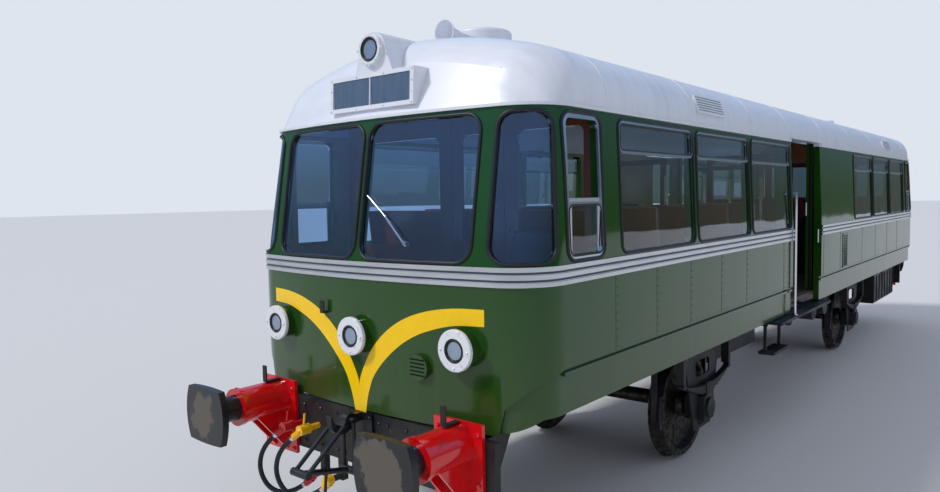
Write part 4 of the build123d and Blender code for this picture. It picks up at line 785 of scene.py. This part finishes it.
def add_studs(shape, spots, outward, radius, height, sides=8):
    """Small domed heads standing on a surface that faces the outward direction."""
    facing = Vector(outward).to_track_quat("Z", "Y").to_matrix().to_4x4()
    foot, shoulder = -0.001, height * 0.6
    for spot in spots:
        stand = Matrix.Translation(Vector(spot)) @ facing
        for low, high, low_radius, high_radius in ((foot, shoulder, radius, radius * 0.86),
                                                   (shoulder, height, radius * 0.86, radius * 0.4)):
            raised = stand @ Matrix.Translation((0, 0, (low + high) / 2))
            bmesh.ops.create_cone(shape, cap_ends=True, segments=sides, radius1=low_radius,
                                  radius2=high_radius, depth=high - low, matrix=raised)


SIDE_Y, DOORWAY = 1.33, (0.25, 1.395)
joints_x = (5.3, 4.69, 4.09, 3.44, 2.82, 1.71, 0.137, -0.68, -1.95, -2.85, -3.753, -4.62)
strip_rows = [(x - 0.018, x + 0.018, SIDE_Y - 0.002, SIDE_Y + 0.0016, 1.503, 1.994) for x in joints_x]
panel_joints = bevelled_blocks(strip_rows, 0.0006)
rivets = [(x + side, SIDE_Y + 0.0016, 1.53 + 0.055 * row)
          for x in joints_x for side in (-0.011, 0.011) for row in range(9)]
add_studs(panel_joints, rivets, (0, 1, 0), 0.0042, 0.0024)
foot_row = [(-5.25 + 0.07 * k, SIDE_Y, 1.515) for k in range(151)]
foot_row = [spot for spot in foot_row if not DOORWAY[0] - 0.03 < spot[0] < DOORWAY[1] + 0.03]
add_studs(panel_joints, foot_row, (0, 1, 0), 0.004, 0.0022)
both_ends(panel_joints)
finish_piece(panel_joints, "side_panel_joints", side_enamel)

# Drop sash frames
# The cab's sliding lower pane has a broad flat alloy frame. Its top rail is the widest, and small
# screws hold it.
rail_rows = [(5.487, 5.853, 1.302, 1.3125, 2.4525, 2.500), (5.487, 5.518, 1.304, 1.3160, 2.165, 2.453),
             (5.822, 5.853, 1.304, 1.3160, 2.165, 2.453)]
sash_rails = bevelled_blocks(rail_rows, 0.002)
screws = [(x, 1.3125, 2.476) for x in (5.500, 5.58, 5.67, 5.76, 5.840)]
add_studs(sash_rails, screws, (0, 1, 0), 0.004, 0.0015)
both_sides(sash_rails)
both_ends(sash_rails)
finish_piece(sash_rails, "drop_sash_frames", polished_alloy)

# Engine air intake
# Twenty pressed steel blades in a flat frame, screwed over a hole in the side behind the doorway
# and enamelled with it.
x0, x1, z0, z1 = -1.04, -0.79, 1.515, 1.962
BLADES, EDGE = 20, 0.018
front, back = SIDE_Y + 0.006, SIDE_Y - 0.004
grille = bevelled_blocks([(x0, x1, back, front, z0, z0 + EDGE), (x0, x1, back, front, z1 - EDGE, z1),
                          (x0, x0 + EDGE, back, front, z0, z1), (x1 - EDGE, x1, back, front, z0, z1)], 0.0015)
blades_z = [z0 + 0.025 + (z1 - z0 - 0.05) / (BLADES - 1) * k for k in range(BLADES)]
blade_rows = [(x0 + 0.016, x1 - 0.016, SIDE_Y + 0.0005, SIDE_Y + 0.0025, z - 0.010, z + 0.010)
              for z in blades_z]
join(grille, bevelled_blocks(blade_rows, 0.0004, Matrix.Rotation(math.radians(-28), 4, "X")))
screws = [(x, front, z) for x in (x0 + 0.009, x1 - 0.009) for z in (z0 + 0.009, (z0 + z1) / 2, z1 - 0.009)]
add_studs(grille, screws, (0, 1, 0), 0.005, 0.003)
both_ends(grille)
finish_piece(grille, "air_intake_grilles", side_enamel)

# Gauzes
# Black wire gauze clipped behind the air intake's blades, in the nose vent's slots and
# in the slots of the roof louvres. The opaque near-black sheets are also painted shade for the dark space
# behind them, so that no daylight shows through them.
# The mesh is drawn at 3 mm, coarser than the real one, so that it still shows
gauze, place = new_finish("wire_gauze_with_painted_shade")
wires = add(gauze, "TexNoise", {"Vector": place, **marks(3, 1)}, 0)
# The near-black of the gauze is painted shade for the dark space behind the slots
colour = add(gauze, "Mix", {0: wires, 6: "050505", 7: "141414"}, 2, data_type="RGBA")
wires = add(gauze, "Bump", {"Height": wires, "Distance": 0.0005}, 0)
close_finish(gauze, {"Base Color": colour, "Roughness": 0.8, "IOR": 1.45, "Normal": wires})
intake_back = (x0 + 0.01, x1 - 0.01, SIDE_Y - 0.003, SIDE_Y + 0.0004, z0 + 0.01, z1 - 0.01)
gauzes = bevelled_blocks([intake_back], 0.0003)
VENT_Y, VENT_Z = 0.540, 1.483
slots_z = [VENT_Z - 0.048 + 0.024 * k for k in range(5)]
slot_rows = [(6.350, 6.3592, VENT_Y - 0.059, VENT_Y + 0.059, z - 0.0048, z + 0.0048) for z in slots_z]
join(gauzes, bevelled_blocks(slot_rows, 0.0003))
both_ends(gauzes)
finish_piece(gauzes, "vent_gauzes", gauze)
louvre_gauze = bmesh.new()
panel_turn = Matrix.Rotation(math.radians(18), 4, "X")
strip_turn = Matrix.Rotation(math.radians(24), 4, "X")
strip_size = Matrix.Diagonal((0.546, 0.020, 0.0088, 1))
for louvre_x in (3.61, -3.85):
    panel = Matrix.Translation((louvre_x, 0.941, 3.1142)) @ panel_turn
    for slot in range(6):
        spot = Matrix.Translation((0, 0.350, (slot - 2.5) * 0.022)) @ strip_turn
        bmesh.ops.create_cube(louvre_gauze, size=1.0, matrix=panel @ spot @ strip_size)
both_ends(louvre_gauze)
finish_piece(louvre_gauze, "louvre_gauzes", gauze)

# Roof straps
# Steel straps cover the joints of the roof sheets, riveted along both edges, and short
# cappings run between them on the ridge. All are painted with the roof.
CROWN_Z, CROWN_R, SHOULDER_R, GUTTER_HALF = 3.608, 3.5, 0.35, 1.291
STRAP_X = (5.34, 3.98, 2.62, 1.5, 0.14, -1.3, -2.72, -4.1, -5.34)
STRAP_HALF, STRAP_THICK = 0.022, 0.003
roof_centre = Vector((0, 0, CROWN_Z - CROWN_R))
shoulder_y = GUTTER_HALF - SHOULDER_R
shoulder_rise = math.sqrt((CROWN_R - SHOULDER_R) ** 2 - shoulder_y ** 2)
shoulder_centre = roof_centre + Vector((0, shoulder_y, shoulder_rise))
lean = math.atan2(shoulder_y, shoulder_rise)


def over_roof(share):
    """A point of the roof's section and its outward direction, from the ridge at 0 to the gutter at 1."""
    crown_arc, rim_arc = CROWN_R * lean, SHOULDER_R * (math.pi / 2 - lean)
    along = share * (crown_arc + rim_arc)
    angle = along / CROWN_R if along <= crown_arc else lean + (along - crown_arc) / SHOULDER_R
    out = Vector((0, math.sin(angle), math.cos(angle)))
    if along <= crown_arc:
        return roof_centre + out * CROWN_R, out
    return shoulder_centre + out * SHOULDER_R, out


straps = bmesh.new()
for x in STRAP_X:
    strip = bmesh.ops.create_grid(straps, x_segments=1, y_segments=80, size=0.5)["verts"]
    for vert in strip:
        spot, out = over_roof(abs(vert.co.y) * 2)
        side = 1 if vert.co.y >= 0 else -1
        under = spot - out * 0.001
        vert.co = Vector((x + vert.co.x * 2 * STRAP_HALF, under.y * side, under.z))
    faces = list({face for vert in strip for face in vert.link_faces})
    bmesh.ops.recalc_face_normals(straps, faces=faces)
    bmesh.ops.solidify(straps, geom=faces, thickness=-STRAP_THICK - 0.001)
for x in STRAP_X:
    for step in range(1, 30):
        spot, out = over_roof(step / 30)
        for side in (-1, 1):
            across = Vector((0, out.y * side, out.z))
            face = Vector((x, spot.y * side, spot.z)) + across * STRAP_THICK
            heads = [face + Vector((edge, 0, 0)) for edge in (-0.014, 0.014)]
            add_studs(straps, heads, across, 0.0045, 0.0025, 6)
ROOF_FITTINGS_X = (4.99, -4.99, -2.454)
for start, end in zip(STRAP_X[1:], STRAP_X):
    for low in (start + 0.03, (start + end) / 2 + 0.01):
        high = low + (end - start) / 2 - 0.06
        free = not any(low < fitting_x < high for fitting_x in ROOF_FITTINGS_X)
        if free and -5.2 < low and high < 5.2:
            capping = (low, high, -0.02, 0.02, CROWN_Z - 0.002, CROWN_Z + 0.005)
            join(straps, bevelled_blocks([capping], 0.002))
bmesh.ops.recalc_face_normals(straps, faces=straps.faces[:])
finish_piece(straps, "roof_straps", roof_paint)

# Bolts
# Hexagon-headed steel bolts on the destination frames, the buffer plates and the headstocks,
# each under the paint of what it holds.
sign_bolts = bmesh.new()
sign_spots = [(x, y, z) for y in (-0.386, -0.13, 0.13, 0.386) for z, x in ((3.122, 6.2045), (3.332, 6.193))]
sign_spots += [(6.1985, y, z) for z in (3.19, 3.26) for y in (-0.386, 0.386)]
add_studs(sign_bolts, sign_spots, (1, 0, 0.05), 0.0075, 0.006, 6)
both_ends(sign_bolts)
finish_piece(sign_bolts, "destination_frame_bolts", roof_paint)
plate_bolts = bmesh.new()
plate_spots = [(6.375, BUFFER_Y + y, z) for y in (-0.155, 0.155) for z in (0.72, 0.86, 1.16)]
add_studs(plate_bolts, plate_spots, (1, 0, 0), 0.018, 0.016, 6)
tube_spots = [(6.735, BUFFER_Y + y, z) for y, z in ((0, 1.212), (-0.09, 1.165), (0.09, 1.165))]
add_studs(plate_bolts, tube_spots, (0, 0, 1), 0.010, 0.008, 6)
both_sides(plate_bolts)
both_ends(plate_bolts)
finish_piece(plate_bolts, "buffer_plate_bolts", red_enamel)
frame_bolts = bmesh.new()
beam_spots = [(6.35, y, z) for y in (0.17, 0.25, 0.42, 0.6) for z in (0.8, 1.06)]
add_studs(frame_bolts, beam_spots, (1, 0, 0), 0.014, 0.012, 6)
both_sides(frame_bolts)
hook_spots = [(6.368, y, z) for z in (0.985, 1.09) for y in (-0.1, 0.1)]
add_studs(frame_bolts, hook_spots, (1, 0, 0), 0.014, 0.014, 6)
both_ends(frame_bolts)
finish_piece(frame_bolts, "headstock_bolts", oily_steel)

# Hose ferrules
# A plated steel sleeve is swaged over each end of a hose,
# where it is pushed on to its tail piece.
ferrules = bmesh.new()
for spot, run in hose_ends:
    add_studs(ferrules, [spot - run.normalized() * 0.002], run.normalized(), 0.0205, 0.046, 24)
finish_piece(ferrules, "hose_ferrules", chrome)

# Lamp rubbers and clips
# Each lens sits in a stepped black rubber ring, and three turned clips, painted with it,
# hold the rim on.
# Columns: the rim's face along X, its middle's y and z, the lens's radius
lamps = [(6.392, 0.86, 1.628, 0.068), (6.432, 0.0, 1.628, 0.068), (6.392, -0.86, 1.628, 0.068),
         (6.196, 0.0, 3.501, 0.076)]
ring_paths, clips = [], bmesh.new()
for face_x, y, z, lens_radius in lamps:
    for radius, depth in ((lens_radius - 0.001, 0.003), (lens_radius - 0.008, 0.0075)):
        ring_paths.append([(face_x - depth, y + radius * math.cos(a), z + radius * math.sin(a))
                           for a in (math.tau * k / 48 for k in range(48))])
    rim = lens_radius + 0.034
    clip_spots = [(face_x, y + rim * math.cos(a), z + rim * math.sin(a)) for a in (0, math.pi, math.pi * 1.5)]
    add_studs(clips, clip_spots, (1, 0, 0), 0.009, 0.007, 10)
lamp_rings = tube_rings(ring_paths, 0.0065)
both_ends(lamp_rings)
finish_piece(lamp_rings, "lamp_rubbers", rubber)
both_ends(clips)
finish_piece(clips, "lamp_rim_clips", rim_paint)

# Saloon seats
# Moquette over sprung, stuffed pads, two or three places to a bench, on pressed steel pedestals with
# varnished boards behind the backs. Each pad is blown up as cloth, then drawn in where it is sewn.
# Cut moquette: short dense tufts with a soft sheen, in two close dark reds
moquette, place = new_finish("cut_moquette")
figures = add(moquette, "TexNoise", {"Vector": place, **marks(60, 1)}, 0)
colour = add(moquette, "Mix", {0: figures, 6: "5c1620", 7: "74232a"}, 2, data_type="RGBA")
tufts = add(moquette, "TexNoise", {"Vector": place, **marks(5, 2)}, 0)
tufts = add(moquette, "Bump", {"Height": tufts, "Distance": 0.0015}, 0)
close_finish(moquette, {"Base Color": colour, "Roughness": 0.9, "Normal": tufts, "Sheen Weight": 0.5,
                        "Sheen Roughness": 0.4})
FLOOR_Z = 1.328


def evaluated(holder):
    """The mesh of an object with its modifiers applied."""
    return bpy.data.meshes.new_from_object(holder.evaluated_get(bpy.context.evaluated_depsgraph_get()))


def stuffed(size, swell, voxel, seams):
    """A stuffed pad about the origin, X by Y by Z, drawn in by seams across it at some Y values."""
    shape = bmesh.new()
    core = [extent - swell for extent in size]
    bmesh.ops.create_cube(shape, size=1.0, matrix=Matrix.Diagonal((*core, 1)))
    bmesh.ops.bevel(shape, geom=shape.edges[:], offset=min(core) * 0.35, segments=4, affect="EDGES",
                    profile=0.5, material=-1)
    holder = bpy.data.objects.new("pad_in_the_making", plain_mesh(shape, "pad"))
    bpy.context.scene.collection.objects.link(holder)
    remesh = holder.modifiers.new("even_mesh", "REMESH")
    remesh.mode = "VOXEL"
    remesh.voxel_size = voxel
    flat = evaluated(holder)
    holder.modifiers.clear()
    holder.data = flat
    before = [vert.co.copy() for vert in flat.vertices]
    cloth = holder.modifiers.new("air", "CLOTH")
    cloth.settings.use_pressure = True
    cloth.settings.uniform_pressure_force = 4.0
    cloth.settings.effector_weights.gravity = 0.0
    for step in range(1, 21):
        bpy.context.scene.frame_set(step)
    blown = evaluated(holder)
    holder.modifiers.clear()
    bpy.context.scene.frame_set(1)
    holder.data = blown
    finished = bmesh.new()
    finished.from_mesh(holder.data)
    bpy.data.objects.remove(holder)
    for vert, start in zip(finished.verts, before):
        move = vert.co - start
        if move.length > swell / 2:
            vert.co = start + move.normalized() * (swell / 2)
        for seam in seams:
            vert.co.z *= 1 - 0.28 * math.exp(-(((vert.co.y - seam) / 0.014) ** 2))
    bmesh.ops.smooth_vert(finished, verts=finished.verts[:], factor=0.5, use_axis_x=True, use_axis_y=True,
                          use_axis_z=True)
    for face in finished.faces:
        face.smooth = True
    return plain_mesh(finished, "pad")


def place_pad(master, matrix, name, material, node):
    """One pad as its own piece, put in its place."""
    shape = bmesh.new()
    shape.from_mesh(master)
    bmesh.ops.transform(shape, matrix=matrix, verts=shape.verts[:])
    pad = finish_piece(shape, name, material)
    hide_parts(node)


# Columns: width of the bench, its middle's y, y of the seams between its places
benches = ((1.135, -0.6275, (-0.19, 0.19)), (0.755, 0.8175, (0.0,)))
ROWS, FIRST_ROW_X, ROW_STEP = 5, 1.640, 0.730
SEAT_TILT, BACK_TILT = math.radians(4.9), math.radians(-83.6)
frames = bmesh.new()
for width, middle_y, seams in benches:
    seat_pad = stuffed((0.425, width - 0.01, 0.078), 0.018, 0.012, seams)
    back_pad = stuffed((0.680, width - 0.01, 0.074), 0.018, 0.012, seams)
    pedestal = (0.13, 0.41, middle_y - 0.05, middle_y + 0.05, 0.0, 0.362)
    tray = (0.04, 0.50, middle_y - width / 2 + 0.03, middle_y + width / 2 - 0.03, 0.355, 0.372)
    wood_row = (-0.34, 0.34, 0.008 - width / 2, width / 2 - 0.008, -0.006, 0.006)
    for row in range(ROWS):
        for end in (1, -1):
            front_x = FIRST_ROW_X + ROW_STEP * row
            label = f"{'front' if end == 1 else 'rear'}_bench_{row + 1}_{len(seams) + 1}_seat"
            seat_spot, back_spot, board_spot = (
                Matrix.Translation((end * (front_x + back), middle_y, FLOOR_Z + up))
                for back, up in ((0.222, 0.412), (0.506, 0.765), (0.553, 0.745)))
            back_turn = Matrix.Rotation(end * BACK_TILT, 4, "Y")
            place_pad(seat_pad, seat_spot @ Matrix.Rotation(end * SEAT_TILT, 4, "Y"),
                      label + "_cushion", moquette, "saloon_seats")
            place_pad(back_pad, back_spot @ back_turn,
                      label + "_backrest", moquette, "saloon_seats")
            steel_rows = []
            for near, far, low_y, high_y, low_z, high_z in (pedestal, tray):
                low_x, high_x = sorted((end * (front_x + near), end * (front_x + far)))
                steel_rows.append((low_x, high_x, low_y, high_y, FLOOR_Z + low_z, FLOOR_Z + high_z))
            join(frames, bevelled_blocks(steel_rows, 0.006))
            board = bevelled_blocks([wood_row], 0.004)
            bmesh.ops.transform(board, verts=board.verts[:], matrix=board_spot @ back_turn)
            join(frames, board)
bench_frames = finish_piece(frames, "bench_frames_and_boards", veneer)
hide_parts("saloon_seats")

# Driving seats
# Each cab has a square stuffed pad and a backrest, both covered in black hide, on a bright steel
# pillar that stands on a round foot screwed to the floor.
# Hide: black-brown, creased, with a low greasy shine
hide, place = new_finish("black_seat_hide")
creases = add(hide, "TexNoise", {"Vector": place, **marks(8, 5)}, 0)
colour = add(hide, "Mix", {0: creases, 6: "17120f", 7: "2b211b"}, 2, data_type="RGBA")
creases = add(hide, "Bump", {"Height": creases, "Distance": 0.0008}, 0)
close_finish(hide, {"Base Color": colour, "Roughness": 0.42, "IOR": 1.5, "Coat Weight": 0.15,
                    "Normal": creases})
driver_pad = stuffed((0.40, 0.44, 0.082), 0.02, 0.01, ())
driver_back = stuffed((0.41, 0.44, 0.06), 0.016, 0.01, ())
pillars = bmesh.new()
upright = Matrix.Rotation(math.radians(90), 4, "Y")
for end, label in ((1, "front"), (-1, "rear")):
    seat_place = Matrix.Translation((end * 5.60, end * 0.80, 1.839))
    back_place = Matrix.Translation((end * 5.431, end * 0.80, 2.09)) @ upright
    for pad, spot, kind in ((driver_pad, seat_place, "cushion"), (driver_back, back_place, "backrest")):
        place_pad(pad, spot, f"{label}_driver_{kind}", hide, "driver_seats")
    add_studs(pillars, [(end * 5.62, end * 0.80, 1.330)], (0, 0, 1), 0.11, 0.012, 32)
    add_studs(pillars, [(end * 5.62, end * 0.80, 1.340)], (0, 0, 1), 0.044, 0.20, 32)
    bmesh.ops.create_cone(pillars, cap_ends=True, segments=32, radius1=0.028, radius2=0.028, depth=0.46,
                          matrix=Matrix.Translation((end * 5.62, end * 0.80, 1.565)))
driver_pillars = finish_piece(pillars, "driver_seat_pillars", chrome)
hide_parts("driver_seats")
